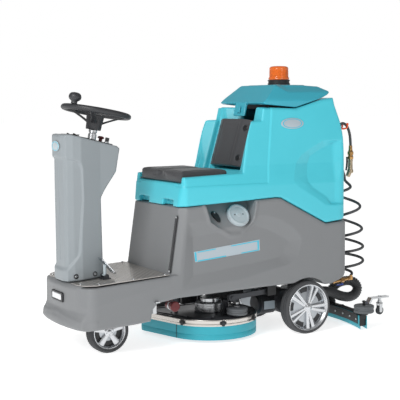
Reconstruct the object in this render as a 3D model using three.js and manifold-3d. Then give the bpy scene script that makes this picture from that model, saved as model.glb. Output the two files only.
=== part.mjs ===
// Ride-on floor scrubber dryer, millimetres, +Z up. The machine drives towards -Y and the
// driver's left is +X. The origin is on the floor, at the middle of the machine's plan box.
import * as THREE from 'three';
import { mergeVertices } from 'three/addons/utils/BufferGeometryUtils.js';
import Module from 'manifold-3d';

const wasm = await Module();
wasm.setup();

// ---------------------------------------------------------------- driving dimensions
const FRONT_Y = -915; // bumper lip
const REAR_Y = 915; // rear ends of the squeegee castor brackets
const BODY_FRONT_Y = -893;
const BODY_REAR_Y = 671;
const BODY_HALF = 275; // half the body's width
const WALL = 8; // rotomoulded wall of the lower body
const TANK_WALL = 6;
const GAP = 0.3; // gap between touching pieces

const REAR_WHEEL = { x: 285, y: 401, radius: 140, width: 70, rim: 124 };
const FRONT_WHEEL = { x: 132, y: -678, radius: 105, width: 62, rim: 86 };
const STEER_Y = -745; // vertical axis of the front fork; the wheel trails behind it
const STEERING = { y: -674, z: 1177, rim: 160, grip: 14, tilt: 11 }; // wheel centre, degrees
const KNOB_ANGLE = -67; // place of the spinner knob on the steering wheel, degrees

const DECK = { y: -39, radius: 247, top: 124, bottom: 16.5 }; // brush deck, raised
const DECK_CORNER = [-247, -359]; // the deck's square front corner on the driver's right
const BRUSH_RADIUS = 226;
const ARM_PIVOT = { y: 205, z: 238 }; // lift arms' pivot on the frame
const ARM_TIP = { y: -23, z: 223 };
const GUARD = { x: 204, y: 7, radius: 54 };

const SQUEEGEE = { y: 753, radius: 1180, half: 375, tip: 10, low: 62, high: 90 };
const CASTOR = { x: 300, y: 861, z: 81, radius: 23 };
const END_ROLLER = { x: 350, z: 92.5, radius: 54, height: 42 };

const TANK_HINGE = { y: 674, z: 590 };
const BACKREST = { y: 35, z: 894, topY: 108, topZ: 1135 }; // front face, bottom and top edge
const BEACON_Y = 402;
const LID_TOP = 1308;
const HOSE_X = 170; // spray hose, its coil, gun and hook
const COIL = { radius: 67.5, low: [170, 776, 268], high: [170, 746, 786] };
const HOSE_RADIUS = 7.5;
const SUCTION_RADIUS = 27;

// Where the sill of the foot deck rises towards the seat.
const deckHeight = (y) => 361 + ((y + 804) * 23) / 466;

// ---------------------------------------------------------------- materials
const paint = (color, roughness, metalness = 0) =>
  new THREE.MeshStandardMaterial({ color, roughness, metalness });
const GREY = paint(0x85878a, 0.55);
const TEAL = paint(0x57c6d8, 0.45);
const BLACK = paint(0x303234, 0.7);
const RUBBER = paint(0x424446, 0.85);
const STEEL = paint(0xb9bbbc, 0.35, 1);
const CHROME = paint(0xe4e6e8, 0.12, 1);
const DARK_STEEL = paint(0x50545a, 0.5, 0.7);
const SKIRT = paint(0x3fb0c0, 0.6);
const ORANGE = paint(0xf07020, 0.25);
const BRASS = paint(0xb98a4a, 0.3, 1);
const CUSHION = paint(0x3e4044, 0.6);
const BLUE = paint(0x1f4fa8, 0.5);
const RED = paint(0x7c1f22, 0.5);
const CAP_GREY = paint(0xb5c1c5, 0.5);
const CLEAR = paint(0xdfe7ea, 0.1);

// ---------------------------------------------------------------- shape helpers
const machine = new THREE.Group();

// Three.js geometry as a solid that can be joined and cut.
function solid(geometry) {
  const bare = geometry.clone();
  bare.deleteAttribute('normal');
  bare.deleteAttribute('uv');
  const merged = mergeVertices(bare, 1e-4);
  const mesh = new wasm.Mesh({
    numProp: 3,
    vertProperties: new Float32Array(merged.attributes.position.array),
    triVerts: new Uint32Array(merged.index.array),
  });
  return new wasm.Manifold(mesh);
}

function toGeometry(body) {
  const mesh = body.getMesh();
  const geometry = new THREE.BufferGeometry();
  geometry.setAttribute('position', new THREE.BufferAttribute(mesh.vertProperties, 3));
  geometry.setIndex(new THREE.BufferAttribute(mesh.triVerts, 1));
  return geometry;
}

const join = (...geometries) => geometries.map(solid).reduce((a, b) => a.add(b));
const fused = (...geometries) => toGeometry(join(...geometries));

function put(name, shape, material) {
  const mesh = new THREE.Mesh(shape.isBufferGeometry ? shape : toGeometry(shape), material);
  mesh.name = name;
  machine.add(mesh);
}

const box = (x0, x1, y0, y1, z0, z1) =>
  new THREE.BoxGeometry(x1 - x0, y1 - y0, z1 - z0)
    .translate((x0 + x1) / 2, (y0 + y1) / 2, (z0 + z1) / 2);

// Cylinder from one point to another.
function rod(from, to, radius, segments = 16, endRadius = radius) {
  const a = new THREE.Vector3(...from);
  const b = new THREE.Vector3(...to);
  const along = b.clone().sub(a);
  const turn = new THREE.Quaternion().setFromUnitVectors(
    new THREE.Vector3(0, 1, 0), along.clone().normalize());
  return new THREE.CylinderGeometry(endRadius, radius, along.length(), segments)
    .applyQuaternion(turn)
    .translate(...a.add(b).multiplyScalar(0.5).toArray());
}

function shapeOf(points) {
  return new THREE.Shape(points.map(([u, v]) => new THREE.Vector2(u, v)));
}

// Side profile, points are [y, z], extruded across the machine.
function acrossX(points, x0, x1) {
  const basis = new THREE.Matrix4().makeBasis(
    new THREE.Vector3(0, 1, 0), new THREE.Vector3(0, 0, 1), new THREE.Vector3(1, 0, 0));
  return new THREE.ExtrudeGeometry(shapeOf(points), { depth: x1 - x0, bevelEnabled: false })
    .applyMatrix4(basis).translate(x0, 0, 0);
}

// Front profile, points are [x, z], extruded along the machine.
function alongY(points, y0, y1) {
  const basis = new THREE.Matrix4().makeBasis(
    new THREE.Vector3(1, 0, 0), new THREE.Vector3(0, 0, 1), new THREE.Vector3(0, -1, 0));
  return new THREE.ExtrudeGeometry(shapeOf(points), { depth: y1 - y0, bevelEnabled: false })
    .applyMatrix4(basis).translate(0, y1, 0);
}

// Plan, points are [x, y], extruded upwards.
function upZ(points, z0, z1) {
  return new THREE.ExtrudeGeometry(shapeOf(points), { depth: z1 - z0, bevelEnabled: false })
    .translate(0, 0, z0);
}

// Ring or turned part about an axis through centre; profile points are [radius, height].
function turned(profile, centre, axis = 'z', segments = 32) {
  const geometry = new THREE.LatheGeometry(
    profile.map(([r, h]) => new THREE.Vector2(r, h)), segments);
  if (axis === 'z') geometry.rotateX(Math.PI / 2);
  if (axis === 'x') geometry.rotateZ(-Math.PI / 2);
  return geometry.translate(...centre);
}

// Outline moved sideways by distance, inwards when it is negative.
function offset(points, distance) {
  const area = points.reduce((sum, [x, y], i) => {
    const [u, v] = points[(i + 1) % points.length];
    return sum + x * v - u * y;
  }, 0);
  const side = Math.sign(area) * distance;
  return points.map((p, i) => {
    const a = points[(i + points.length - 1) % points.length];
    const b = points[(i + 1) % points.length];
    const n1 = normal(a, p);
    const n2 = normal(p, b);
    const scale = side / (1 + n1[0] * n2[0] + n1[1] * n2[1]);
    return [p[0] + (n1[0] + n2[0]) * scale, p[1] + (n1[1] + n2[1]) * scale];
  });
}

function normal([x0, y0], [x1, y1]) {
  const length = Math.hypot(x1 - x0, y1 - y0);
  return [(y1 - y0) / length, (x0 - x1) / length];
}

// Points of an arc about a centre, angles in degrees.
function arc([cx, cy], radius, from, to, steps) {
  return Array.from({ length: steps + 1 }, (_, i) => {
    const angle = THREE.MathUtils.degToRad(from + ((to - from) * i) / steps);
    return [cx + radius * Math.cos(angle), cy + radius * Math.sin(angle)];
  });
}

// Hose along a smooth curve through points.
function hose(points, radius, steps, sides) {
  const curve = new THREE.CatmullRomCurve3(points.map((p) => new THREE.Vector3(...p)));
  const section = shapeOf(arc([0, 0], radius, 0, 360 - 360 / sides, sides - 1));
  return new THREE.ExtrudeGeometry(section, { steps, extrudePath: curve, bevelEnabled: false });
}

const both = (make) => [make(1), make(-1)];
const mirrored = (points) => [...points, ...points.map(([x, y]) => [-x, y]).reverse()];

// ---------------------------------------------------------------- lower body
// Line where the upper tank meets the lower body, from front to rear.
const PART_LINE = [[-356, 708], [206, 730], [236, 727], [522, 579], [BODY_REAR_Y, 588]];

function bodyPlan(grow) {
  const half = BODY_HALF + grow;
  const front = BODY_FRONT_Y - grow;
  const rear = BODY_REAR_Y + grow;
  const right = [
    [0, front], [120, front + 6], [200, front + 20],
    ...arc([half - 60, front + 92], 60, -55, 0, 4),
    ...arc([half - 55, rear - 55], 55, 0, 90, 4),
  ];
  return [...right, ...right.slice(1).map(([x, y]) => [-x, y]).reverse()];
}

const BODY_TOP = [[BODY_FRONT_Y - 5, 345], [-870, 358], [-401, deckHeight(-401)], [-351, 706]];
const BODY_BOTTOM = [
  [BODY_REAR_Y + 5, 305], [644, 280], [564, 252], [525, 251], [325, 274], [159, 274],
  [-368, 264], [-482, 250], [-512, 219], [-521, 165], [-603, 158], [-870, 148],
  [BODY_FRONT_Y - 5, 148],
];
const bodySide = [...BODY_TOP, ...PART_LINE.slice(1).map(([y, z]) => [y, z - 3]), ...BODY_BOTTOM];

// Scoop in the left side where the filler cap and the charging socket sit.
const SCOOP_LEAN = 35; // degrees, its floor faces this far up
const SCOOP_FOOT = { x: 278, z: 568 };
const scoopDrop = Math.tan(THREE.MathUtils.degToRad(SCOOP_LEAN));

function scoop(grow) {
  const outline = [[-234, 760], [-182, 632], [-60, 568], [0, 568], [55, 622], [90, 760]];
  const wedge = [
    [SCOOP_FOOT.x + 12, SCOOP_FOOT.z - 16],
    [SCOOP_FOOT.x + 12, 760],
    [SCOOP_FOOT.x - (760 - SCOOP_FOOT.z) * scoopDrop - grow, 760],
    [SCOOP_FOOT.x - grow, SCOOP_FOOT.z - grow],
  ];
  const sides = solid(acrossX(offset(outline, grow), 100, 300));
  return sides.intersect(solid(alongY(wedge, -300, 150)));
}

function wheelWells(grow) {
  const { y, radius } = REAR_WHEEL;
  return join(...both((s) => rod([s * (196 - grow), y, radius], [s * 320, y, radius], 157 + grow, 32)));
}

function chassisShell() {
  const lip = upZ(offset(bodyPlan(0), BODY_FRONT_Y - FRONT_Y), 150, 208);
  const lipFront = solid(lip).intersect(solid(box(-245, 245, FRONT_Y - 5, -800, 140, 215)));
  const outer = solid(acrossX(bodySide, -290, 290)).intersect(solid(upZ(bodyPlan(0), 100, 800)));
  const inner = solid(acrossX(offset(bodySide, -WALL), -290, 290))
    .intersect(solid(upZ(bodyPlan(-WALL), 100, 800)));
  const wheelRoom = inner.intersect(solid(box(-300, 300, BODY_FRONT_Y, -495, 100, 400)));
  const floorHole = solid(box(-BODY_HALF + WALL, BODY_HALF - WALL, -850, -495, 100, 262))
    .intersect(solid(upZ(bodyPlan(-WALL), 90, 300)));
  const tankRoom = inner
    .intersect(solid(box(-300, 300, -487, BODY_REAR_Y, 100, 800)))
    .subtract(wheelWells(WALL))
    .subtract(scoop(WALL));
  const bayHatch = solid(box(-205, 128, -330, 470, 560, 800));
  const neck = capPlace(rod([0, 0, -60], [0, 0, 20], 40, 24));
  const steerHole = box(-62, 62, -862, -702, 300, 420);
  return outer.add(lipFront)
    .subtract(wheelWells(0)).subtract(scoop(0))
    .subtract(wheelRoom).subtract(floorHole).subtract(tankRoom)
    .subtract(bayHatch).subtract(solid(neck)).subtract(solid(steerHole));
}

// Place something made about the Z axis on the scoop's floor.
function onScoop(geometry, y, up) {
  const lean = THREE.MathUtils.degToRad(90 - SCOOP_LEAN);
  const x = SCOOP_FOOT.x - (up - SCOOP_FOOT.z) * scoopDrop;
  return geometry.rotateY(lean).translate(x, y, up);
}
const capPlace = (geometry) => onScoop(geometry, -5, 642);

put('chassis_shell', chassisShell(), GREY);
put('filler_cap', capPlace(turned(
  [[0, GAP], [58, GAP], [62, 4], [62, 22], [58, 26], [0, 26]], [0, 0, 0], 'z', 28)), CAP_GREY);
put('socket_cover', onScoop(turned(
  [[0, GAP], [17, GAP], [17, 7], [14, 9], [0, 9]], [0, 0, 0], 'z', 16), -128, 645), BLACK);
put('level_tube', rod([245, -408, 398], [245, -367, 660], 6, 10), CLEAR);

const headlight = [[-66, 268], [66, 268], [66, 306], [-66, 306]];
put('headlight', alongY(headlight, BODY_FRONT_Y - 7, BODY_FRONT_Y - GAP), CLEAR);

// ---------------------------------------------------------------- foot deck
const PLATE_FRONT = -866;
const plateSide = [
  [PLATE_FRONT, deckHeight(PLATE_FRONT) + GAP], [-412, deckHeight(-412) + GAP],
  [-412, deckHeight(-412) + 3.3], [PLATE_FRONT, deckHeight(PLATE_FRONT) + 3.3],
];
const platePlan = mirrored([[170, PLATE_FRONT], [222, -846], [256, -800], [256, -412]]);
const cowlFoot = [[100, -900], [100, -760], [74, -672], [-74, -672], [-100, -760], [-100, -900]];
const plateBolts = [-780, -600, -430].flatMap((y) => both((s) => {
  const z = deckHeight(y) + 2;
  return rod([s * 242, y, z], [s * 242, y, z + 6], 7, 12, 4);
}));

const PEDAL = { x: 118, y: -694, z: 383 };
const pedalEars = join(
  box(PEDAL.x - 26, PEDAL.x + 26, PEDAL.y - 22, PEDAL.y + 22, 368.4, 375.5),
  box(PEDAL.x - 26, PEDAL.x - 19, PEDAL.y - 12, PEDAL.y + 12, 373, 393),
  box(PEDAL.x + 19, PEDAL.x + 26, PEDAL.y - 12, PEDAL.y + 12, 373, 393),
);
put('foot_plate', solid(acrossX(plateSide, -260, 260)).intersect(solid(upZ(platePlan, 340, 420)))
  .subtract(solid(upZ(cowlFoot, 340, 420)))
  .add(pedalEars).add(join(...plateBolts)), STEEL);
const treadle = [[-721, 471], [-647, 389], [-643, 393], [-717, 475]];
const pedal = join(
  rod([PEDAL.x - 18, PEDAL.y, PEDAL.z + 3], [PEDAL.x + 18, PEDAL.y, PEDAL.z + 3], 6, 12),
  box(PEDAL.x - 9, PEDAL.x + 9, PEDAL.y - 4, PEDAL.y + 4, PEDAL.z + 2, 443),
  acrossX(treadle, PEDAL.x - 29, PEDAL.x + 30),
);
put('pedal', pedal, STEEL);

// ---------------------------------------------------------------- steering column cowl
const columnSide = [
  [-880, 363], [-683, 372], [-683, 470], [-688, 760], [-665, 800], [-602, 885], [-585, 975],
  [-580, 998], [-594, 1010], [-855, 1074], [-884, 1070], [-888, 1055], [-888, 966],
  [-878, 958],
];
const COWL_WALL = 5;

function cowlPlan(grow) {
  return mirrored([
    [96 + grow, -840], [100 + grow, -800], [78 + grow, -690], [70 + grow, -570],
  ].reverse().concat([[84 + grow, -872 - grow], [40, -889 - grow]]));
}

function steeringCowl() {
  const outer = solid(acrossX(columnSide, -120, 120)).intersect(solid(upZ(cowlPlan(0), 300, 1100)));
  const inner = solid(acrossX(offset(columnSide, -COWL_WALL), -120, 120))
    .intersect(solid(upZ(cowlPlan(-COWL_WALL), 300, 1100)));
  const openFoot = solid(box(-70, 70, -870, -690, 350, 390));
  const shaftHole = solid(onColumn(rod([0, 0, -200], [0, 0, -60], 25, 20)));
  return outer.subtract(inner).subtract(openFoot).subtract(shaftHole);
}

// Place something made about the Z axis on the steering column's axis.
function onColumn(geometry) {
  return geometry.rotateX(-THREE.MathUtils.degToRad(STEERING.tilt))
    .translate(0, STEERING.y, STEERING.z);
}

put('steering_cowl', steeringCowl(), GREY);

// The dash slopes down towards the driver.
const dashSlope = Math.atan2(1074 - 1010, 855 - 594);
const dashHeight = (y) => 1010 - (y + 594) * Math.tan(dashSlope);
const onDash = (geometry, x, y, lift) =>
  geometry.rotateX(-dashSlope).translate(x, y, dashHeight(y) + lift);
const dash = [[-840, dashHeight(-840) + GAP], [-612, dashHeight(-612) + GAP],
  [-612, dashHeight(-612) + 4], [-840, dashHeight(-840) + 4]];
const dashHole = onColumn(rod([0, 0, -200], [0, 0, -40], 30, 20));
put('dash_panel', solid(acrossX(dash, -62, 62)).subtract(solid(dashHole)), BLACK);
put('key_switch', onDash(fused(
  rod([0, 0, 0], [0, 0, 8], 9, 16),
  box(-3, 3, -9, 9, 8, 26)), 40, -640, 4.6), STEEL);
const mushroom = [[0, 0], [9, 0], [9, 12], [16, 14], [16, 22], [12, 26], [0, 26]];
put('stop_button', onDash(turned(mushroom, [0, 0, 0], 'z', 20), -38, -640, 10.5), RED);
put('direction_switch', onDash(rocker(), 40, -800, 4.5), BLACK);
put('lamp_switch', onDash(rocker(), -38, -800, 4.5), BLACK);

function rocker() {
  return acrossX([[-13, 2], [0, 0], [13, 2], [14, 9], [0, 5], [-14, 9]], -8, 8);
}

// ---------------------------------------------------------------- steering wheel and fork
const HUB_FOOT = -88; // lower end of the wheel's hub, along the column
const spoke = (angle) => {
  const turn = THREE.MathUtils.degToRad(angle);
  return alongY([[30, -68], [STEERING.rim, -9], [STEERING.rim, 3], [30, -50]], -9, 9).rotateZ(turn);
};
const wheelRing = new THREE.TorusGeometry(STEERING.rim, STEERING.grip, 8, 30);
const steeringWheel = join(
  wheelRing, spoke(90), spoke(210), spoke(330),
  rod([0, 0, HUB_FOOT], [0, 0, -14], 38, 24, 44),
);
put('steering_wheel', onColumn(toGeometry(steeringWheel)), BLACK);
put('steering_shaft', onColumn(fused(
  rod([0, 0, -300], [0, 0, HUB_FOOT - GAP], 13, 16), rod([0, 0, -176], [0, 0, HUB_FOOT - GAP], 21, 20))), STEEL);
const knobTurn = THREE.MathUtils.degToRad(KNOB_ANGLE);
put('spinner_knob', onColumn(turned(
  [[0, 0], [16, 0], [15, 10], [26, 18], [31, 31], [27, 45], [14, 53], [0, 54]], [0, 0, 0], 'z', 20)
  .translate(STEERING.rim * Math.cos(knobTurn), STEERING.rim * Math.sin(knobTurn), STEERING.grip + GAP)),
BLACK);

const forkX = FRONT_WHEEL.x - FRONT_WHEEL.width; // inner face of the front wheel
const fork = join(
  rod([0, STEER_Y, 222], [0, STEER_Y, 470], 17, 20),
  rod([0, STEER_Y, 236], [0, STEER_Y, 262], 45, 24),
  box(-45, forkX - 4, STEER_Y - 40, STEER_Y + 40, 226, 238),
  acrossX([[-785, 238], [-785, 212], [-706, 84], [-652, 84], [-646, 150], [-670, 238]],
    forkX - 16, forkX - 4),
  rod([forkX - 20, FRONT_WHEEL.y, FRONT_WHEEL.radius],
    [FRONT_WHEEL.x - 12, FRONT_WHEEL.y, FRONT_WHEEL.radius], 9, 16),
);
put('steering_fork', fork, DARK_STEEL);

// ---------------------------------------------------------------- wheels
// Tyre and rim about the X axis; outer is the X of the outer face, side its sign.
function tyre({ x, y, radius, width, rim }, side, crown) {
  const profile = [
    [rim, -width / 2 + 4], [radius - crown, -width / 2], [radius, -width / 2 + crown],
    [radius, width / 2 - crown], [radius - crown, width / 2], [rim, width / 2 - 4],
    [rim, -width / 2 + 4],
  ];
  return turned(profile, [side * (x - width / 2), y, radius], 'x', 32);
}

function rimOf({ x, y, radius, width, rim }, side, bore, spokes) {
  const middle = side * (x - width / 2);
  const face = width / 2 - 8;
  const barrel = turned([
    [rim - GAP, -width / 2 + 4], [rim - GAP, width / 2 - 4], [rim - 9, width / 2 - 2],
    [rim - 12, width / 2 - 8], [rim - 12, -width / 2 + 4], [rim - GAP, -width / 2 + 4],
  ], [0, 0, 0], 'x', 32);
  const hub = turned([[bore, -width / 2 + 6], [28, -width / 2 + 6], [28, face], [bore, face],
    [bore, -width / 2 + 6]], [0, 0, 0], 'x', 16);
  const arms = Array.from({ length: spokes }, (_, i) =>
    box(face - 22, face - 2, -9, 9, 20, rim - 8).rotateX((i * 2 * Math.PI) / spokes));
  const whole = toGeometry(join(barrel, hub, ...arms));
  if (side < 0) whole.rotateY(Math.PI);
  return whole.translate(middle, y, radius);
}

for (const [name, side] of [['left', 1], ['right', -1]]) {
  put(`rear_tyre_${name}`, tyre(REAR_WHEEL, side, 10), RUBBER);
  put(`rear_rim_${name}`, rimOf(REAR_WHEEL, side, 15.3, 5), CHROME);
}
put('front_tyre', tyre(FRONT_WHEEL, 1, 9), RUBBER);
put('front_rim', rimOf(FRONT_WHEEL, 1, 9.4, 5), CHROME);

// ---------------------------------------------------------------- frame, drive and services
const axleHeight = REAR_WHEEL.radius;
const hubInner = REAR_WHEEL.x - REAR_WHEEL.width;
const transaxle = join(
  rod([-hubInner + 8, REAR_WHEEL.y, axleHeight], [hubInner - 8, REAR_WHEEL.y, axleHeight], 26, 16),
  rod([-hubInner - 50, REAR_WHEEL.y, axleHeight], [hubInner + 50, REAR_WHEEL.y, axleHeight], 15, 16),
  rod([-55, REAR_WHEEL.y, axleHeight], [55, REAR_WHEEL.y, axleHeight], 68, 24),
  rod([0, 250, axleHeight - 8], [0, 350, axleHeight - 8], 60, 24),
  rod([0, 240, axleHeight - 8], [0, 250, axleHeight - 8], 42, 20),
);
put('transaxle', transaxle, BLACK);

const rail = (s) => box(s * 134 - 14, s * 134 + 14, -360, 425, 249.5, 261.5);
const armEar = (s) => box(s * 222 - 5, s * 222 + 5, 180, 232, 216, 270);
const axleHanger = (s) => box(s * 134 - 8, s * 134 + 8, 372, 425, 110, 255);
const axleClearance = rod(
  [-hubInner, REAR_WHEEL.y, axleHeight], [hubInner, REAR_WHEEL.y, axleHeight], 26 + GAP, 16);
const subframe = join(
  ...both(rail), ...both(armEar), ...both(axleHanger),
  box(-227, 227, 186, 218, 258, 270),
  box(-148, 148, -360, -330, 249.5, 261.5),
  box(-148, 148, 400, 425, 238, 261.5),
  box(-148, 148, -206, -174, 250, 261.5),
  box(-60, 60, 400, 560, 238, 248),
  box(-60, 60, 548, 560, 130, 248),
).subtract(solid(axleClearance));
put('subframe', subframe, DARK_STEEL);

const battery = (x, y) => fused(
  box(x - 88, x + 88, y - 128, y + 128, 285, 540),
  rod([x - 50, y + 90, 535], [x - 50, y + 90, 556], 9, 10),
  rod([x + 50, y + 90, 535], [x + 50, y + 90, 556], 9, 10),
);
put('battery_pack', join(
  battery(-92, -160), battery(92, -160), battery(-92, 110), battery(92, 110),
  box(-186, 186, -294, 244, 283, 287)), BLACK);
put('vacuum_motor', join(
  rod([0, 470, 284], [0, 470, 430], 72, 24),
  rod([0, 470, 430], [0, 470, 456], 45, 20)), BLACK);
put('water_filter', join(
  rod([150, -363, 214], [205, -363, 214], 22, 20), rod([205, -363, 214], [226, -363, 214], 26, 20),
  box(155, 175, -375, -351, 214, 258)), RED);
const ACTUATOR = { x: -92, y: -190 };
const actuatorRod = (z0, z1, radius) =>
  rod([ACTUATOR.x, ACTUATOR.y, z0], [ACTUATOR.x, ACTUATOR.y, z1], radius, 20);
put('deck_actuator', solid(actuatorRod(164, 249, 24)).subtract(solid(actuatorRod(150, 244, 10.5))), DARK_STEEL);

put('brass_valve', join(
  rod([HOSE_X, 640, 236], [HOSE_X, 770, 252], 9, 12),
  rod([HOSE_X, 690, 242], [HOSE_X, 716, 245], 14, 12),
  rod([HOSE_X, 764, 240], [HOSE_X, 764, COIL.low[2] - 4], 11, 12)), BRASS);
put('valve_handle', join(
  rod([HOSE_X, 703, 227], [HOSE_X, 703, 222], 8, 12), box(HOSE_X - 6, HOSE_X + 6, 668, 709, 217, 223)), BLUE);

// ---------------------------------------------------------------- recovery tank and seat
const tankSide = [
  ...PART_LINE.slice(0, 4), [640, 592], [666, 595], [668, 611], [668, 928], [657, 1030],
  [638, 1116], [606, 1201], [597, 1240], [530, 1232], [361, 1185], [151, 1193], [138, 1128],
  [60, 1127], [11, 868], [-331, 858],
];
const TANK_WIDTH = [[274, 600], [275, 711], [262, 860], [255, 900], [233, 1193], [229, 1260]];

function tankPlan(grow) {
  const half = BODY_HALF + grow;
  const rear = 668 + grow;
  const right = [
    [half - 38, -358 - grow], [half, -320],
    ...arc([half - 70, rear - 70], 70, 0, 90, 5),
  ];
  return mirrored(right);
}

function tankForm(grow) {
  const width = mirrored(TANK_WIDTH.map(([x, z]) => [x + grow, z]));
  return solid(acrossX(grow ? offset(tankSide, grow) : tankSide, -300, 300))
    .intersect(solid(alongY(width, -400, 700)))
    .intersect(solid(upZ(tankPlan(grow), 500, 1300)));
}

// Seat pan between the armrests, and the recess that holds the backrest.
function seatRoom(grow) {
  const pan = [[-400, 822 - grow], [40 + grow, 822 - grow], [40 + grow, 900], [-400, 900]];
  const back = [[-60, 822 - grow], [56.5 + grow, 822 - grow], [151.5 + grow, 1135],
    [151.5 + grow, 1140 + grow], [-60, 1140 + grow]];
  return solid(acrossX(pan, -232 - grow, 232 + grow))
    .intersect(solid(box(-300, 300, -420, 14 + grow, 700, 1200)))
    .add(solid(acrossX(back, -182 - grow, 182 + grow)));
}

const tongueRoom = (grow) => solid(box(-60 - grow, 60 + grow, 100, 173 + grow, 1120, 1300));

function recoveryTank() {
  const inner = tankForm(-TANK_WALL).subtract(seatRoom(TANK_WALL)).subtract(tongueRoom(TANK_WALL));
  const hatch = solid(box(-165, 165, 220, 520, 1150, 1300));
  const notches = [[-188, -76], [76, 188]].map(([a, b]) => solid(box(a, b, -400, -324, 690, 740)))
    .reduce((a, b) => a.add(b));
  const notchWalls = [[-194, -70], [70, 194]].map(([a, b]) => solid(box(a, b, -400, -318, 690, 746)))
    .reduce((a, b) => a.add(b));
  return tankForm(0).subtract(seatRoom(0)).subtract(tongueRoom(0)).subtract(notches)
    .subtract(inner.subtract(notchWalls)).subtract(hatch);
}
put('recovery_tank', recoveryTank(), TEAL);

const cushion = upZ(mirrored([[214, -331], [227, -318], [227, -62], [214, -48]]), 822 + GAP, 878);
put('seat_cushion', cushion, CUSHION);

// Backrest pad, leaning back; its side edges are chamfered.
const lean = Math.atan2(BACKREST.topY - BACKREST.y, BACKREST.topZ - BACKREST.z);
const padLength = Math.hypot(BACKREST.topY - BACKREST.y, BACKREST.topZ - BACKREST.z);
const padSection = mirrored([[96, 0], [150, 24], [154, 38], [150, 39.5]]);
const pad = upZ(padSection, 0, padLength).rotateX(-lean).translate(0, BACKREST.y, BACKREST.z);
const padHole = (s, up) => rod([s * 126, 10, up], [s * 126, 26, up], 13, 14)
  .rotateX(-lean).translate(0, BACKREST.y, BACKREST.z);
const padHeights = [45, 205];
const backrest = padHeights.flatMap((up) => both((s) => padHole(s, up)))
  .reduce((body, hole) => body.subtract(solid(hole)), solid(pad));
put('backrest', backrest, CUSHION);

put('tank_hinge_pin', rod(
  [-215, TANK_HINGE.y + 2, TANK_HINGE.z], [215, TANK_HINGE.y + 2, TANK_HINGE.z], 4, 12), DARK_STEEL);

// ---------------------------------------------------------------- lid and beacon
const lidSide = [
  [164, 1209], [361, 1191], [540, 1241], [600, 1266], [594, 1276], [556, 1300], [470, LID_TOP - 2],
  [267, LID_TOP],
];

function lidForm(grow) {
  const width = mirrored([
    [224 + grow, 1180], [224 + grow, 1222], [176 + grow, LID_TOP - 4], [170 + grow, 1320],
  ]);
  const plan = mirrored([[224 + grow, 150], [224 + grow, 530], [212 + grow, 575], [188 + grow, 610]]);
  return solid(acrossX(grow ? offset(lidSide, grow) : lidSide, -300, 300))
    .intersect(solid(alongY(width, 0, 700))).intersect(solid(upZ(plan, 1100, 1400)));
}
const lidSkin = lidForm(0).subtract(lidForm(-5)).subtract(solid(box(-205, 205, 185, 540, 1150, 1245)));
const tongue = acrossX([[146, 1148], [155, 1148], [172, 1216], [164, 1220]], -52, 52);
put('tank_lid', lidSkin.add(solid(tongue)), TEAL);
put('beacon_base', turned([[0, LID_TOP + GAP], [60, LID_TOP + GAP], [60, 1334], [54, 1338], [0, 1338]],
  [0, BEACON_Y, 0], 'z', 32), BLACK);
put('beacon_lens', turned(
  [[0, 1338 + GAP], [56, 1338 + GAP], [56, 1350], [54, 1354], [52, 1402], [47, 1412], [0, 1412]],
  [0, BEACON_Y, 0], 'z', 28), ORANGE);

// ---------------------------------------------------------------- spray gun, hook and hoses
const hookArm = (s) => fused(
  box(HOSE_X + s * 22 - 5, HOSE_X + s * 22 + 5, 653, 722, 1072, 1080),
  box(HOSE_X + s * 22 - 5, HOSE_X + s * 22 + 5, 714, 722, 1072, 1104));
put('hose_hook', join(hookArm(1), hookArm(-1),
  rod([HOSE_X - 22, 690, 1076], [HOSE_X + 22, 690, 1076], 4, 10),
  box(HOSE_X - 32, HOSE_X + 32, 652.5, 660, 1058, 1092)), ORANGE);

const gunTop = [HOSE_X, 757, 962];
put('spray_gun', join(
  rod([HOSE_X, 754, 836], [HOSE_X, 757, 930], 13, 14),
  rod([HOSE_X, 757, 926], gunTop, 10, 12),
  rod([HOSE_X, 754, 845], [HOSE_X, 738, 812], 11, 12),
  box(HOSE_X - 5, HOSE_X + 5, 736, 750, 905, 917)), STEEL);
put('spray_trigger', acrossX([[725, 846], [729, 845], [736, 890], [735, 919], [729, 919], [730, 890]],
  HOSE_X - 5, HOSE_X + 5), BLACK);

const leadRoute = [
  [170, 757, 962.5], [170, 757, 985], [171, 750, 1040], [172, 732, 1082], [173, 708, 1100],
  [174, 684, 1094], [176, 671, 1050], [177, 675, 980], [178, 682, 920], [176, 696, 860],
  [172, 714, 815], [170, 722, 790],
];
put('spray_hose_lead', hose(leadRoute, HOSE_RADIUS, 28, 8), BLACK);
put('spray_hose_coil', rod(COIL.low, COIL.high, COIL.radius, 16), BLACK);

const suctionRoute = [
  [60, 600, 172], [60, 650, 170], [60, 711, 160], [62, 770, 134], [64, 829, 121], [62, 876, 132],
  [56, 899, 163], [46, 884, 196], [32, 846, 208], [14, 796, 196], [4, 762, 166], [2, 756, 134],
];
put('suction_hose', hose(suctionRoute, SUCTION_RADIUS, 26, 8), BLACK);

// ---------------------------------------------------------------- brush deck
// Round on the driver's left, squared off at the front on the driver's right.
function deckOutline(grow) {
  const radius = DECK.radius + grow;
  const [cx, cy] = [DECK_CORNER[0] - grow, DECK_CORNER[1] - grow];
  const corner = arc([cx + 60, cy + 76], 60, 180, 285, 6);
  return [...corner, ...arc([0, DECK.y], radius, -75, 180, 28)];
}

function deckRing(outer, inner, z0, z1) {
  return solid(upZ(deckOutline(outer), z0, z1)).subtract(solid(upZ(deckOutline(inner), z0 - 1, z1 + 1)));
}

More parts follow.
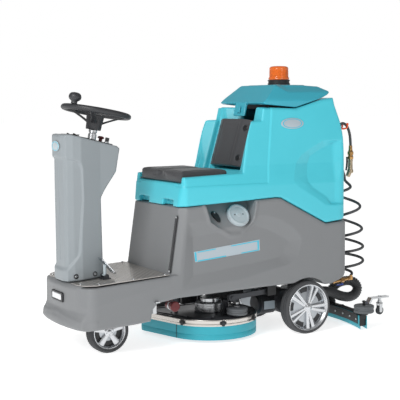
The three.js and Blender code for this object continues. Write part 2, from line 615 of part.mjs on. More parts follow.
const linkTab = (s) => fused(
  box(s * 134 - 6, s * 134 + 6, ARM_TIP.y - 16, ARM_TIP.y + 16, DECK.top - 1, 206),
  box(s * 160 - 32, s * 160 + 32, ARM_TIP.y - 16, ARM_TIP.y + 16, 196, 206),
  box(s * 187 - 5, s * 187 + 5, ARM_TIP.y - 16, ARM_TIP.y + 16, 196, 240));
const deckPlate = solid(upZ(deckOutline(-4), DECK.top - 8, DECK.top))
  .add(deckRing(-4, -8, 84, DECK.top))
  .add(join(...both(linkTab)))
  .add(solid(rod([GUARD.x, GUARD.y, DECK.top - 4], [GUARD.x, GUARD.y, 190], 8, 12)))
  .add(solid(actuatorRod(DECK.top - 4, 225, 10)))
  .subtract(solid(rod([0, DECK.y, 80], [0, DECK.y, 130], 30, 20)));
put('deck_plate', deckPlate, DARK_STEEL);
put('deck_skirt', deckRing(-0.5, -4 + GAP, DECK.bottom, 119), SKIRT);
put('deck_band', deckRing(2, -0.5 + GAP, 88, 121), CHROME);
put('guard_roller', turned([[8.4, 132], [GUARD.radius - 4, 132], [GUARD.radius, 137], [GUARD.radius, 168],
  [GUARD.radius - 4, 172], [8.4, 172], [8.4, 132]], [GUARD.x, GUARD.y, 0], 'z', 28), RUBBER);
put('brush_motor', join(
  rod([0, DECK.y, DECK.top + GAP], [0, DECK.y, 172], 80, 28),
  rod([0, DECK.y, 170], [0, DECK.y, 200], 52, 24)), STEEL);
put('brush', join(
  rod([0, DECK.y, 17], [0, DECK.y, 62], BRUSH_RADIUS, 36, BRUSH_RADIUS - 14),
  rod([0, DECK.y, 61], [0, DECK.y, 78], BRUSH_RADIUS - 12, 36),
  rod([0, DECK.y, 77], [0, DECK.y, 120], 24, 20)), SKIRT);

const armRise = Math.atan2(ARM_PIVOT.z - ARM_TIP.z, ARM_PIVOT.y - ARM_TIP.y);
const armLength = Math.hypot(ARM_PIVOT.z - ARM_TIP.z, ARM_PIVOT.y - ARM_TIP.y);
const liftArm = (s) => box(s * 202 - 6, s * 202 + 6, -18, armLength + 4, -18, 18)
  .rotateX(armRise).translate(0, ARM_TIP.y, ARM_TIP.z);
put('lift_arms', join(
  ...both(liftArm),
  rod([-216.7, ARM_PIVOT.y, ARM_PIVOT.z], [216.7, ARM_PIVOT.y, ARM_PIVOT.z], 9, 12)), DARK_STEEL);

// ---------------------------------------------------------------- squeegee
const squeegeeAngle = THREE.MathUtils.radToDeg(Math.asin(SQUEEGEE.half / SQUEEGEE.radius));
const squeegeeCentre = [0, SQUEEGEE.y - SQUEEGEE.radius];

// Band that follows the squeegee's curve, between two radii.
function squeegeeBand(inner, outer, z0, z1, trim = 0) {
  const spread = squeegeeAngle - trim;
  const far = arc(squeegeeCentre, SQUEEGEE.radius + outer, 90 - spread, 90 + spread, 16);
  const near = arc(squeegeeCentre, SQUEEGEE.radius + inner, 90 + spread, 90 - spread, 16);
  return upZ([...far, ...near], z0, z1);
}

const curveY = (x) => squeegeeCentre[1] + Math.sqrt(SQUEEGEE.radius ** 2 - x ** 2);
const rollerY = curveY(END_ROLLER.x) + 14;
const castorArm = (s) => fused(
  box(s * CASTOR.x - 14, s * CASTOR.x + 14, 690, 770, 82, 92),
  acrossX([[750, 84], [762, 84], [800, 152], [REAR_Y, 152], [REAR_Y, 158], [794, 158]],
    s * CASTOR.x - 14, s * CASTOR.x + 14));
const squeegeeFrame = join(
  squeegeeBand(-16, 16, SQUEEGEE.low, SQUEEGEE.high),
  box(-55, 55, 575, 748, 82, 90), box(-55, 55, 565, 577, 82, 190),
  rod([2, 756, 84], [2, 756, 126], 25, 20),
  ...both((s) => rod([s * END_ROLLER.x, rollerY, 84], [s * END_ROLLER.x, rollerY, 152], 8, 12)),
  ...both((s) => rod([s * END_ROLLER.x, rollerY, 81], [s * END_ROLLER.x, rollerY, 91], 24, 14)),
  ...both(castorArm),
);
put('squeegee_frame', squeegeeFrame, DARK_STEEL);
put('squeegee_blade_rear', squeegeeBand(16 + GAP, 20, SQUEEGEE.tip, 80), SKIRT);
put('squeegee_blade_front', squeegeeBand(-20, -16 - GAP, SQUEEGEE.tip, 80), SKIRT);

for (const [name, s] of [['left', 1], ['right', -1]]) {
  const { radius, height, z } = END_ROLLER;
  put(`squeegee_roller_${name}`, turned([[8.4, z], [radius - 3, z], [radius, z + 5], [radius, z + height - 5],
    [radius - 3, z + height], [8.4, z + height], [8.4, z]], [s * END_ROLLER.x, rollerY, 0], 'z', 28), RUBBER);
  const x = s * CASTOR.x;
  put(`castor_fork_${name}`, join(
    rod([x, CASTOR.y, 124], [x, CASTOR.y, 152 - GAP], 9, 14),
    box(x - 14, x + 14, CASTOR.y - 12, CASTOR.y + 12, 118, 126),
    box(x - 14, x - 11, CASTOR.y - 9, CASTOR.y + 9, CASTOR.z - 9, 120),
    box(x + 11, x + 14, CASTOR.y - 9, CASTOR.y + 9, CASTOR.z - 9, 120)), STEEL);
  put(`castor_wheel_${name}`,
    rod([x - 9, CASTOR.y, CASTOR.z], [x + 9, CASTOR.y, CASTOR.z], CASTOR.radius, 24), SKIRT);
}

export default machine;
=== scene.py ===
# Looks of the ride-on floor scrubber. Shapes are in millimetres in the frame's axes (+Z up, the
# front towards -Y, the driver's left +X) and become metres when a mesh is made.
import math
import bpy
import numpy as np
import openvdb
from mathutils import Matrix, Vector


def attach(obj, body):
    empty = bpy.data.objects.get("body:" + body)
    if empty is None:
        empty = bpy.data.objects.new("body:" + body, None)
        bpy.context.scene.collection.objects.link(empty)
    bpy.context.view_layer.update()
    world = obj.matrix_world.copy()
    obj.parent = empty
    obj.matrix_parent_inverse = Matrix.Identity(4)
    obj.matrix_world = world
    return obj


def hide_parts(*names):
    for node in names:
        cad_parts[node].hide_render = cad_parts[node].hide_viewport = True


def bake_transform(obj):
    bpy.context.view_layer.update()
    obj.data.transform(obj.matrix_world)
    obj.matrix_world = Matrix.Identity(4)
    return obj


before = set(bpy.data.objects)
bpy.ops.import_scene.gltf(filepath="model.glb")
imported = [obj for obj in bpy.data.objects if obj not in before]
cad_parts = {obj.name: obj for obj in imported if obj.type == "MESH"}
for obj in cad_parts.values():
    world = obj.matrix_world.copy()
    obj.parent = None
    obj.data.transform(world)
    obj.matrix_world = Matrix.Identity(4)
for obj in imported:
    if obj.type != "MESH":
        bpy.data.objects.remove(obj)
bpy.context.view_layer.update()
scene = bpy.context.scene

# ---------------------------------------------------------------- places shared with the CAD model
PART_LINE = [(-356, 708), (206, 730), (236, 727), (522, 579), (671, 588)]  # (y, z) between body and tank
COLUMN_Y, COLUMN_Z, COLUMN_TILT = -674, 1177, math.radians(11)  # middle of the hand wheel
HAND_WHEEL_RADIUS = 160
REAR_AXLE_Y, REAR_RADIUS, REAR_BEAD = 401, 140, 124
FRONT_AXLE_Y, FRONT_RADIUS, FRONT_BEAD = -678, 105, 86
PEDAL_X, PEDAL_Y, PEDAL_Z = 118, -694, 386
DASH_Y, DASH_Z, DASH_SLOPE = -594, 1010, math.atan2(64, 261)  # the dash's rear edge
BACKREST_Y, BACKREST_Z, BACKREST_LEAN = 35, 894, math.atan2(73, 241)  # foot of the backrest's face
CAP_Y, CAP_Z, FLAP_Y, FLAP_Z = -5, 642, -128, 645
BEACON_Y = 402
HOSE_X, HOSE_RADIUS, COIL_RADIUS, COIL_Y = 170, 7.5, 60, 764
FILTER_Y, FILTER_Z = -363, 214
DECK_Y, DECK_RADIUS = -39, 247
ROLLER_X, ROLLER_Y = 204, 7
SQUEEGEE_Y, CURVE = 753, 1180  # middle of the squeegee and the radius of its bend
SPREAD = math.degrees(math.asin(375 / CURVE))
END_ROLLER_X = 350
CASTOR_X, CASTOR_Y, CASTOR_Z = 300, 861, 81

# ---------------------------------------------------------------- camera, light and floor
def make_camera():
    """Camera fitted to the photograph: 60 degrees round from the front, a little above the body."""
    azimuth, elevation, roll = (math.radians(v) for v in (60.47, 5.32, -0.43))
    right = Vector((math.cos(azimuth), math.sin(azimuth), 0))
    back = Vector((math.sin(azimuth) * math.cos(elevation), -math.cos(azimuth) * math.cos(elevation),
                   math.sin(elevation)))
    up = back.cross(right)
    turned_right = right * math.cos(roll) + up * math.sin(roll)
    turned_up = up * math.cos(roll) - right * math.sin(roll)
    camera = bpy.data.objects.new("camera", bpy.data.cameras.new("camera"))
    camera.matrix_world = Matrix((turned_right, turned_up, back)).transposed().to_4x4()
    camera.location = (4.74793, -2.78142, 1.22107)
    camera.data.lens = 94.56
    camera.data.sensor_width = 36
    camera.data.clip_end = 200
    scene.collection.objects.link(camera)
    scene.camera = camera


def area_light(name, place, target, size, power):
    """Rectangular lamp at a place, turned to a target; places and sizes in metres."""
    data = bpy.data.lights.new(name, "AREA")
    data.shape = "RECTANGLE"
    data.size, data.size_y = size
    data.energy = power
    light = bpy.data.objects.new(name, data)
    light.location = place
    light.rotation_mode = "QUATERNION"
    light.rotation_quaternion = (Vector(target) - Vector(place)).to_track_quat("-Z", "Y")
    scene.collection.objects.link(light)


def make_studio():
    """Soft boxes from the front and the side, with a white backdrop and a glowing white floor."""
    world = bpy.data.worlds.new("studio")
    scene.world = world
    world.use_nodes = True
    nodes, links = world.node_tree.nodes, world.node_tree.links
    place = nodes.new("ShaderNodeTexCoord")
    facing = nodes.new("ShaderNodeVectorMath")
    facing.operation = "DOT_PRODUCT"
    facing.inputs[1].default_value = (-0.866, 0.491, -0.093)
    links.new(place.outputs["Generated"], facing.inputs[0])
    fall = nodes.new("ShaderNodeMapRange")
    fall.interpolation_type = "SMOOTHSTEP"
    fall.inputs["From Min"].default_value = 0.78
    fall.inputs["From Max"].default_value = 0.95
    fall.inputs["To Min"].default_value = 0.3
    fall.inputs["To Max"].default_value = 1.0
    links.new(facing.outputs["Value"], fall.inputs["Value"])
    links.new(fall.outputs["Result"], nodes["Background"].inputs["Strength"])
    nodes["Background"].inputs["Color"].default_value = (1, 1, 1, 1)
    area_light("key", (2.7, -4.7, 3.9), (0, -0.1, 0.6), (2.4, 2.4), 235)
    area_light("side", (5.6, 0.6, 2.6), (0, 0.1, 0.6), (1.6, 1.6), 24)
    data = bpy.data.meshes.new("floor")
    data.from_pydata([(-60, -60, 0), (60, -60, 0), (60, 60, 0), (-60, 60, 0)], [], [(0, 1, 2, 3)])
    floor = bpy.data.objects.new("floor", data)
    scene.collection.objects.link(floor)
    white = surface("floor", (0.9, 0.9, 0.9), 0.9, vary=0.004, scale=2, bump=0)
    white.node_tree.nodes["Principled BSDF"].inputs["Emission Color"].default_value = (1, 1, 1, 1)
    white.node_tree.nodes["Principled BSDF"].inputs["Emission Strength"].default_value = 0.72
    data.materials.append(white)
    scene.view_settings.view_transform = "Standard"


# ---------------------------------------------------------------- materials
def surface(name, color, rough, metal=0.0, vary=0.05, scale=6.0, bump=0.00025, grain=700.0, wear=0.06,
            coat=0.0, sheen=0.0, spec=0.5, transmission=0.0, cells=False, stretch=(1, 1, 1)):
    """Procedural finish: slow colour drift, fine grain in the bump, uneven roughness."""
    m = bpy.data.materials.new(name)
    m.use_nodes = True
    nodes, links = m.node_tree.nodes, m.node_tree.links
    shader = nodes["Principled BSDF"]
    shader.inputs["Metallic"].default_value = metal
    shader.inputs["Coat Weight"].default_value = coat
    shader.inputs["Coat Roughness"].default_value = 0.12
    shader.inputs["Sheen Weight"].default_value = sheen
    shader.inputs["Specular IOR Level"].default_value = spec
    shader.inputs["Transmission Weight"].default_value = transmission
    place = nodes.new("ShaderNodeTexCoord")
    mapping = nodes.new("ShaderNodeMapping")
    mapping.inputs["Scale"].default_value = stretch
    links.new(place.outputs["Object"], mapping.inputs["Vector"])
    drift = nodes.new("ShaderNodeTexNoise")
    drift.inputs["Scale"].default_value = scale
    drift.inputs["Detail"].default_value = 4
    links.new(mapping.outputs["Vector"], drift.inputs["Vector"])
    mix = nodes.new("ShaderNodeMix")
    mix.data_type = "RGBA"
    mix.inputs[6].default_value = (*(c * (1 - vary) for c in color), 1)
    mix.inputs[7].default_value = (*(min(c * (1 + vary), 1) for c in color), 1)
    links.new(drift.outputs["Fac"], mix.inputs[0])
    links.new(mix.outputs[2], shader.inputs["Base Color"])
    rise = nodes.new("ShaderNodeMapRange")
    rise.inputs["From Min"].default_value = 0.3
    rise.inputs["From Max"].default_value = 0.7
    rise.inputs["To Min"].default_value = max(rough - wear, 0.02)
    rise.inputs["To Max"].default_value = min(rough + wear, 1)
    links.new(drift.outputs["Fac"], rise.inputs["Value"])
    links.new(rise.outputs["Result"], shader.inputs["Roughness"])
    if bump:
        fine = nodes.new("ShaderNodeTexVoronoi" if cells else "ShaderNodeTexNoise")
        fine.inputs["Scale"].default_value = grain
        links.new(mapping.outputs["Vector"], fine.inputs["Vector"])
        relief = nodes.new("ShaderNodeBump")
        relief.inputs["Strength"].default_value = 0.6
        relief.inputs["Distance"].default_value = bump
        links.new(fine.outputs["Distance" if cells else "Fac"], relief.inputs["Height"])
        links.new(relief.outputs["Normal"], shader.inputs["Normal"])
    return m


def srgb(*values):
    """Linear colour of an 8-bit one."""
    return tuple(((v / 255 + 0.055) / 1.055) ** 2.4 for v in values)


GREY = surface("grey_shell", srgb(125, 127, 129), 0.5, vary=0.03, grain=900, bump=0.0002)
COLUMN = surface("column_grey", srgb(142, 149, 153), 0.48, vary=0.03, grain=900, bump=0.0002)
TEAL = surface("teal_tank", srgb(76, 197, 213), 0.38, vary=0.03, grain=420, bump=0.00016)
LID = surface("teal_lid", srgb(58, 167, 187), 0.4, vary=0.03, grain=420, bump=0.00016)
VINYL = surface("seat_vinyl", srgb(58, 59, 62), 0.5, vary=0.06, grain=520, bump=0.0004,
                cells=True, sheen=0.15)
BLACK = surface("black_plastic", srgb(38, 39, 41), 0.45, vary=0.08, grain=800, bump=0.0002)
RUBBER = surface("rubber", srgb(58, 61, 63), 0.72, vary=0.1, grain=500, bump=0.0003, spec=0.3)
TREAD = surface("tyre_rubber", srgb(74, 75, 77), 0.75, vary=0.12, grain=420, bump=0.0004, spec=0.3)
HOSE = surface("hose_plastic", srgb(70, 71, 73), 0.5, vary=0.08, grain=500, bump=0.0002)
SKIRT = surface("teal_rubber", srgb(44, 160, 176), 0.5, vary=0.06, grain=300, bump=0.0003)
BRISTLE = surface("bristles", srgb(60, 140, 160), 0.7, vary=0.25, scale=60, grain=900, bump=0.002,
                  stretch=(1, 1, 0.1))
DARK = surface("dark_steel", srgb(62, 64, 68), 0.42, metal=0.5, vary=0.12, grain=600, bump=0.0002)
FRAME = surface("frame_black", srgb(34, 35, 37), 0.5, metal=0.2, vary=0.15, grain=500, bump=0.0002)
STEEL = surface("bright_steel", srgb(196, 198, 200), 0.3, metal=1, vary=0.06, grain=500, bump=0.0001,
                stretch=(1, 1, 12))
CHROME = surface("chrome", srgb(214, 217, 221), 0.12, metal=1, vary=0.03, grain=200, bump=0.00005, wear=0.04)
ALLOY = surface("alloy", srgb(205, 207, 210), 0.26, metal=0.9, vary=0.04, grain=500, bump=0.00008)
PLATE = surface("checker_aluminium", srgb(190, 186, 182), 0.34, metal=0.85, vary=0.1, scale=30, grain=500,
                bump=0.0001)
BRASS = surface("brass", srgb(190, 148, 96), 0.3, metal=1, vary=0.12, grain=400, bump=0.0001)
ORANGE = surface("orange_plastic", srgb(232, 92, 48), 0.35, vary=0.05, grain=500, bump=0.0001)
LENS = surface("orange_lens", srgb(255, 118, 30), 0.12, vary=0.1, scale=18, grain=120, bump=0.0003,
               coat=0.6, transmission=0.25)
BLUE = surface("blue_plastic", srgb(24, 66, 160), 0.4, vary=0.05)
RED = surface("red_plastic", srgb(98, 24, 28), 0.4, vary=0.08)
CAP = surface("cap_grey", srgb(176, 187, 192), 0.42, vary=0.03, grain=600, bump=0.0001)
LABEL = surface("label_grey", srgb(170, 182, 190), 0.35, vary=0.03, bump=0.00003, coat=0.3)
LINE = surface("label_teal", srgb(60, 186, 212), 0.35, vary=0.03, bump=0.00003, coat=0.3)
GLASSY = surface("clear_lens", srgb(226, 228, 230), 0.1, vary=0.06, scale=40, grain=160,
                 bump=0.0006, coat=0.5)
TUBE = surface("clear_tube", srgb(60, 62, 64), 0.2, vary=0.05, bump=0, coat=0.6)
CASE = surface("battery_case", srgb(44, 45, 48), 0.5, vary=0.1)
PIPING = surface("seat_piping", srgb(120, 122, 124), 0.5, vary=0.06, grain=900, bump=0.0002)
WHEEL = surface("wheel_grip", srgb(46, 47, 50), 0.5, vary=0.08, grain=600, bump=0.0003)
STOP = surface("stop_red", srgb(92, 22, 24), 0.35, vary=0.05)
GUARD = surface("guard_grey", srgb(86, 89, 92), 0.5, vary=0.07, grain=500, bump=0.0002)
DISH = surface("rim_dish", srgb(176, 180, 184), 0.32, metal=0.9, vary=0.08, bump=0.0001)
GUNMETAL = surface("gun_champagne", srgb(196, 178, 152), 0.3, metal=0.85, vary=0.12, grain=400, bump=0.0001)
BAND = surface("band_steel", srgb(205, 200, 194), 0.26, metal=0.9, vary=0.05, grain=300, bump=0.00006)
LENS_DARK = surface("display", srgb(24, 32, 40), 0.1, vary=0.1, bump=0, coat=0.8)


# ---------------------------------------------------------------- mesh helpers
def link_piece(data, name, material, body, replaces=()):
    """Put a mesh in the scene with its material, body and the CAD nodes it replaces."""
    piece = bpy.data.objects.new(name, data)
    scene.collection.objects.link(piece)
    if not data.materials:
        data.materials.append(material)
    if body:
        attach(piece, body)
    if replaces:
        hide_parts(*replaces)
    return piece


def make(name, points, faces, material, body, replaces=(), angle=32):
    """Piece from points in millimetres, smooth where faces meet below the given angle."""
    data = bpy.data.meshes.new(name)
    data.from_pydata([(x / 1000, y / 1000, z / 1000) for x, y, z in points], [], faces)
    data.validate()
    data.shade_smooth()
    data.set_sharp_from_angle(angle=math.radians(angle))
    return link_piece(data, name, material, body, replaces)


class Parts:
    """Gathers simple closed forms into one mesh."""

    def __init__(self):
        self.points, self.faces = [], []

    def add(self, points, faces):
        start = len(self.points)
        self.points += [tuple(p) for p in points]
        self.faces += [tuple(i + start for i in f) for f in faces]
        return self

    def lathe(self, profile, centre, axis=(0, 0, 1), n=32, closed=False):
        """Profile points are (radius, height) about the axis through centre."""
        w = Vector(axis).normalized()
        u = w.orthogonal().normalized()
        v = w.cross(u)
        c = Vector(centre)
        rings, points, faces = [], [], []
        for r, h in profile:
            if r < 1e-6:
                rings.append([len(points)] * n)
                points.append(c + w * h)
            else:
                rings.append([len(points) + i for i in range(n)])
                for i in range(n):
                    a = 2 * math.pi * i / n
                    points.append(c + w * h + (u * math.cos(a) + v * math.sin(a)) * r)
        pairs = list(zip(rings, rings[1:])) + ([(rings[-1], rings[0])] if closed else [])
        for a, b in pairs:
            for i in range(n):
                j = (i + 1) % n
                quad = []
                for k in (a[i], a[j], b[j], b[i]):
                    if k not in quad:
                        quad.append(k)
                if len(quad) > 2:
                    faces.append(quad)
        return self.add(points, faces)

    def rod(self, a, b, r, n=16, edge=1.0, r2=None):
        """Round bar with small chamfers at its ends."""
        length = (Vector(b) - Vector(a)).length
        r2 = r if r2 is None else r2
        e = min(edge, r * 0.4, r2 * 0.4, length * 0.3)
        return self.lathe([(0, 0), (r - e, 0), (r, e), (r2, length - e), (r2 - e, length), (0, length)], a,
                          Vector(b) - Vector(a), n)

    def prism(self, outline, frame_of, low, high, edge=2.0):
        """Outline [(u, v)] extruded from low to high; frame_of maps (u, v, w) to a point."""
        n = len(outline)
        inset = offset(outline, -edge) if edge else outline
        if edge:
            layers = [(inset, low), (outline, low + edge), (outline, high - edge), (inset, high)]
        else:
            layers = [(outline, low), (outline, high)]
        points = [frame_of(u, v, w) for line, w in layers for u, v in line]
        faces = [tuple(reversed(range(n))), tuple(range(len(points) - n, len(points)))]
        for k in range(len(layers) - 1):
            for i in range(n):
                j = (i + 1) % n
                faces.append((k * n + i, k * n + j, k * n + n + j, k * n + n + i))
        return self.add(points, faces)

    def box(self, x0, x1, y0, y1, z0, z1, edge=1.5):
        return self.prism([(x0, y0), (x1, y0), (x1, y1), (x0, y1)], up_z, z0, z1, min(edge, abs(z1 - z0) / 3))

    def bolt(self, at, axis, r=7, h=4, hexagon=False):
        w = Vector(axis).normalized()
        if hexagon:
            self.lathe([(0, 0), (r * 1.35, 0), (r * 1.35, 1.2), (r * 1.3, 1.6), (0, 1.6)], at, w, 20)
            return self.lathe([(r, 1), (r, h), (r * 0.86, h + 0.8), (0, h + 0.8)], at, w, 6)
        return self.lathe([(0, 0), (r, 0), (r, h * 0.3), (r * 0.86, h * 0.72), (r * 0.5, h),
                           (r * 0.42, h * 0.86), (r * 0.34, h * 0.5), (0, h * 0.5)], at, w, 18)

    def make(self, name, material, body, slot=None, replaces=(), angle=32):
        return make(name, self.points, self.faces, material, body, replaces, angle)


def across_x(u, v, w):
    return (w, u, v)


def along_y(u, v, w):
    return (u, w, v)


def up_z(u, v, w):
    return (u, v, w)


def offset(points, distance):
    """Outline moved outwards by a distance, or inwards by a negative one."""
    area = sum(x0 * y1 - x1 * y0 for (x0, y0), (x1, y1) in zip(points, points[1:] + points[:1]))
    side = distance if area > 0 else -distance
    out = []
    for i, (x, y) in enumerate(points):
        (ax, ay), (bx, by) = points[i - 1], points[(i + 1) % len(points)]
        la, lb = math.hypot(x - ax, y - ay), math.hypot(bx - x, by - y)
        n1, n2 = ((y - ay) / la, (ax - x) / la), ((by - y) / lb, (x - bx) / lb)
        k = side / max(1 + n1[0] * n2[0] + n1[1] * n2[1], 0.25)
        out.append((x + (n1[0] + n2[0]) * k, y + (n1[1] + n2[1]) * k))
    return out


def fillet(points, radii, steps=5):
    """Round the corners of an outline. radii is one number or one for each corner."""
    out = []
    for i, p in enumerate(points):
        r = radii[i] if hasattr(radii, "__len__") else radii
        p = Vector(p)
        a, b = Vector(points[i - 1]) - p, Vector(points[(i + 1) % len(points)]) - p
        half = a.angle(b) / 2
        cut = min(r / math.tan(half), a.length * 0.49, b.length * 0.49) if r else 0
        if cut < 0.3 or half > 1.55:
            out.append(tuple(p))
            continue
        a, b = p + a.normalized() * cut, p + b.normalized() * cut
        for k in range(steps + 1):
            t = k / steps
            q = a * (1 - t) ** 2 + p * 2 * t * (1 - t) + b * t * t
            out.append((q.x, q.y))
    return out


def plaque(u0, u1, v0, v1, r):
    """Rectangle with round corners."""
    return fillet([(u0, v0), (u1, v0), (u1, v1), (u0, v1)], r)


def mirrored(points):
    """Right half of an outline joined to its mirror image."""
    return points + [(-x, y) for x, y in reversed(points)]


def arc(centre, r, a0, a1, n):
    """Points of an arc from angle a0 to a1 in degrees."""
    return [(centre[0] + r * math.cos(math.radians(a0 + (a1 - a0) * i / n)),
             centre[1] + r * math.sin(math.radians(a0 + (a1 - a0) * i / n))) for i in range(n + 1)]


def smooth_path(points, step):
    """Evenly spaced points on a Catmull-Rom curve."""
    p = np.array(points, float)
    p = np.vstack([2 * p[0] - p[1], p, 2 * p[-1] - p[-2]])
    fine = []
    for i in range(1, len(p) - 2):
        t = np.linspace(0, 1, 24, endpoint=False)[:, None]
        a, b, c, d = p[i - 1], p[i], p[i + 1], p[i + 2]
        fine.append(0.5 * (2 * b + (c - a) * t + (2 * a - 5 * b + 4 * c - d) * t ** 2
                           + (3 * b - a - 3 * c + d) * t ** 3))
    fine = np.vstack(fine + [p[-2][None]])
    run = np.concatenate([[0], np.cumsum(np.linalg.norm(np.diff(fine, axis=0), axis=1))])
    at = np.linspace(0, run[-1], max(int(run[-1] / step), 2))
    return np.stack([np.interp(at, run, fine[:, k]) for k in range(3)], 1)


def tube(path, radius, sides):
    """Tube along a path; radius is a number or one for each point. Returns points and faces."""
    path = np.asarray(path, float)
    radius = np.broadcast_to(radius, len(path))
    along = np.gradient(path, axis=0)
    along /= np.linalg.norm(along, axis=1)[:, None]
    side = Vector(along[0]).orthogonal().normalized()
    points, faces = [], []
    for i, (p, w, r) in enumerate(zip(path, along, radius)):
        w = Vector(w)
        side = (side - w * side.dot(w)).normalized()
        other = w.cross(side)
        for k in range(sides):
            a = 2 * math.pi * k / sides
            points.append(Vector(p) + (side * math.cos(a) + other * math.sin(a)) * float(r))
        if i:
            for k in range(sides):
                j = (k + 1) % sides
                faces.append(((i - 1) * sides + k, (i - 1) * sides + j, i * sides + j, i * sides + k))
    faces += [tuple(reversed(range(sides))), tuple(range(len(points) - sides, len(points)))]
    return points, faces


# ---------------------------------------------------------------- moulded shapes as distance fields
class Field:
    """Grid in millimetres; distances are negative inside."""

    def __init__(self, low, high, step):
        self.low, self.step = np.array(low, float), step
        self.x, self.y, self.z = (
            np.arange(a, b + step, step, dtype=np.float32).reshape(shape)
            for a, b, shape in zip(low, high, ((-1, 1, 1), (1, -1, 1), (1, 1, -1))))

    def side(self, outline):
        return polygon(outline, self.y, self.z)

    def front(self, outline):
        return polygon(outline, self.x, self.z)

    def plan(self, outline):
        return polygon(outline, self.x, self.y)

    def block(self, x0, x1, y0, y1, z0, z1, r=0.0):
        q = [np.abs(c - (a + b) / 2) - (b - a) / 2 + r
             for c, a, b in ((self.x, x0, x1), (self.y, y0, y1), (self.z, z0, z1))]
        outside = np.sqrt(sum(np.maximum(v, 0) ** 2 for v in q))
        return outside + np.minimum(np.maximum(np.maximum(q[0], q[1]), q[2]), 0) - r

    def ball_rod(self, a, b, r):
        """Distance to a cylinder with flat ends."""
        a, b = np.array(a, float), np.array(b, float)
        length = np.linalg.norm(b - a)
        w = (b - a) / length
        rel = [self.x - a[0], self.y - a[1], self.z - a[2]]
        t = sum(c * k for c, k in zip(rel, w))
        away = np.sqrt(np.maximum(sum(c * c for c in rel) - t * t, 0))
        return np.maximum(away - r, np.abs(t - length / 2) - length / 2)

    def mesh(self, name, distance, material, body, replaces=()):
        shape = (self.x.size, self.y.size, self.z.size)
        d = np.array(np.broadcast_to(distance, shape), np.float32)
        for axis in range(3):
            for end in (0, -1):
                index = [slice(None)] * 3
                index[axis] = end
                d[tuple(index)] = np.maximum(d[tuple(index)], self.step * 0.5)
        grid = openvdb.FloatGrid(float(self.step * 3))
        grid.copyFromArray(np.clip(d, -self.step * 3, self.step * 3))
        points, quads = grid.convertToQuads(0.0)
        points = np.array(points, float)
        quads = np.array(quads, np.int32)
        points = self.settle(points, quads, d)
        world = (points * self.step + self.low) / 1000
        a, b, c = (world[quads[:, k]] for k in (0, 1, 2))
        if np.einsum("ij,ij->i", np.cross(a, b), c).sum() < 0:
            quads = quads[:, ::-1]
        data = bpy.data.meshes.new(name)
        data.vertices.add(len(world))
        data.vertices.foreach_set("co", world.astype(np.float32).ravel())
        data.loops.add(len(quads) * 4)
        data.loops.foreach_set("vertex_index", np.ascontiguousarray(quads).ravel())
        data.polygons.add(len(quads))
        data.polygons.foreach_set("loop_start", np.arange(0, len(quads) * 4, 4, dtype=np.int32))
        data.update(calc_edges=True)
        data.validate()
        data.shade_smooth()
        return link_piece(data, name, material, body, replaces)

    @staticmethod
    def settle(points, quads, d):
        """Even the points out over the surface, then draw them back onto it."""
        slope = np.stack(np.gradient(d), -1)
        top = np.array(d.shape) - 1.001
        edges = np.vstack([quads[:, [0, 1]], quads[:, [1, 2]], quads[:, [2, 3]], quads[:, [3, 0]]])
        for _ in range(3):
            total, count = np.zeros_like(points), np.zeros(len(points))
            for k in range(3):
                total[:, k] = np.bincount(edges[:, 0], points[edges[:, 1], k], len(points)) + np.bincount(
                    edges[:, 1], points[edges[:, 0], k], len(points))
            count = np.bincount(edges.ravel(), minlength=len(points))
            points = points * 0.5 + total / np.maximum(count, 1)[:, None] * 0.5
            p = np.clip(points, 0, top)
            base = p.astype(int)
            f = p - base
            value, grad = 0, 0
            for corner in range(8):
                o = np.array([(corner >> 2) & 1, (corner >> 1) & 1, corner & 1])
                w = np.prod(np.where(o, f, 1 - f), 1)
                i = tuple((base + o).T)
                value = value + w * d[i]
                grad = grad + w[:, None] * slope[i]
            step = grad * (value / np.maximum((grad ** 2).sum(1), 0.05))[:, None]
            points = points - np.clip(step, -0.7, 0.7)
        return points


def polygon(outline, u, v):
    """Signed distance to a closed outline, negative inside."""
    best, inside = None, None
    for (x0, y0), (x1, y1) in zip(outline, outline[1:] + outline[:1]):
        ex, ey = x1 - x0, y1 - y0
        px, py = u - x0, v - y0
        t = np.clip((px * ex + py * ey) / max(ex * ex + ey * ey, 1e-9), 0, 1)
        d = (px - ex * t) ** 2 + (py - ey * t) ** 2
        best = d if best is None else np.minimum(best, d)
        hit = ((y0 > v) != (y1 > v)) & (u < ex * (v - y0) / (ey if abs(ey) > 1e-9 else 1e-9) + x0)
        inside = hit if inside is None else inside ^ hit
    return np.where(inside, -1, 1) * np.sqrt(best)


def both(a, b, r=0.0):
    """Common part, with the edge rounded."""
    if not r:
        return np.maximum(a, b)
    return np.minimum(-r, np.maximum(a, b)) + np.sqrt(np.maximum(a + r, 0) ** 2 + np.maximum(b + r, 0) ** 2)


def either(a, b, r=0.0):
    """Union, with the inner corner filled."""
    return -both(-a, -b, r)


def less(a, b, r=0.0):
    """a with b cut away."""
    return both(a, -b, r)


def ease(t):
    """Smooth step from 0 to 1."""
    t = np.clip(t, 0, 1)
    return t * t * (3 - 2 * t)


STEP = 4.0


# ---------------------------------------------------------------- body, tank, lid and column
def ramp(rim, floor, field):
    """0 outside the rim outline and 1 inside the floor outline, straight in between."""
    inside = np.maximum(-field.side(rim), 0)
    outside = np.maximum(field.side(floor), 0)
    return inside / (inside + outside + 0.01)


def body_plan(grow):
    """Plan of the body, with all its edges moved outwards by grow."""
    right = [(40, -893 - grow), (120, -887 - grow), (200, -873 - grow)]
    right += arc((215 + grow, -801 - grow), 60, -55, 0, 4) + arc((220 + grow, 616 + grow), 55, 0, 90, 4)
    return right + [(-x, y) for x, y in reversed(right)]


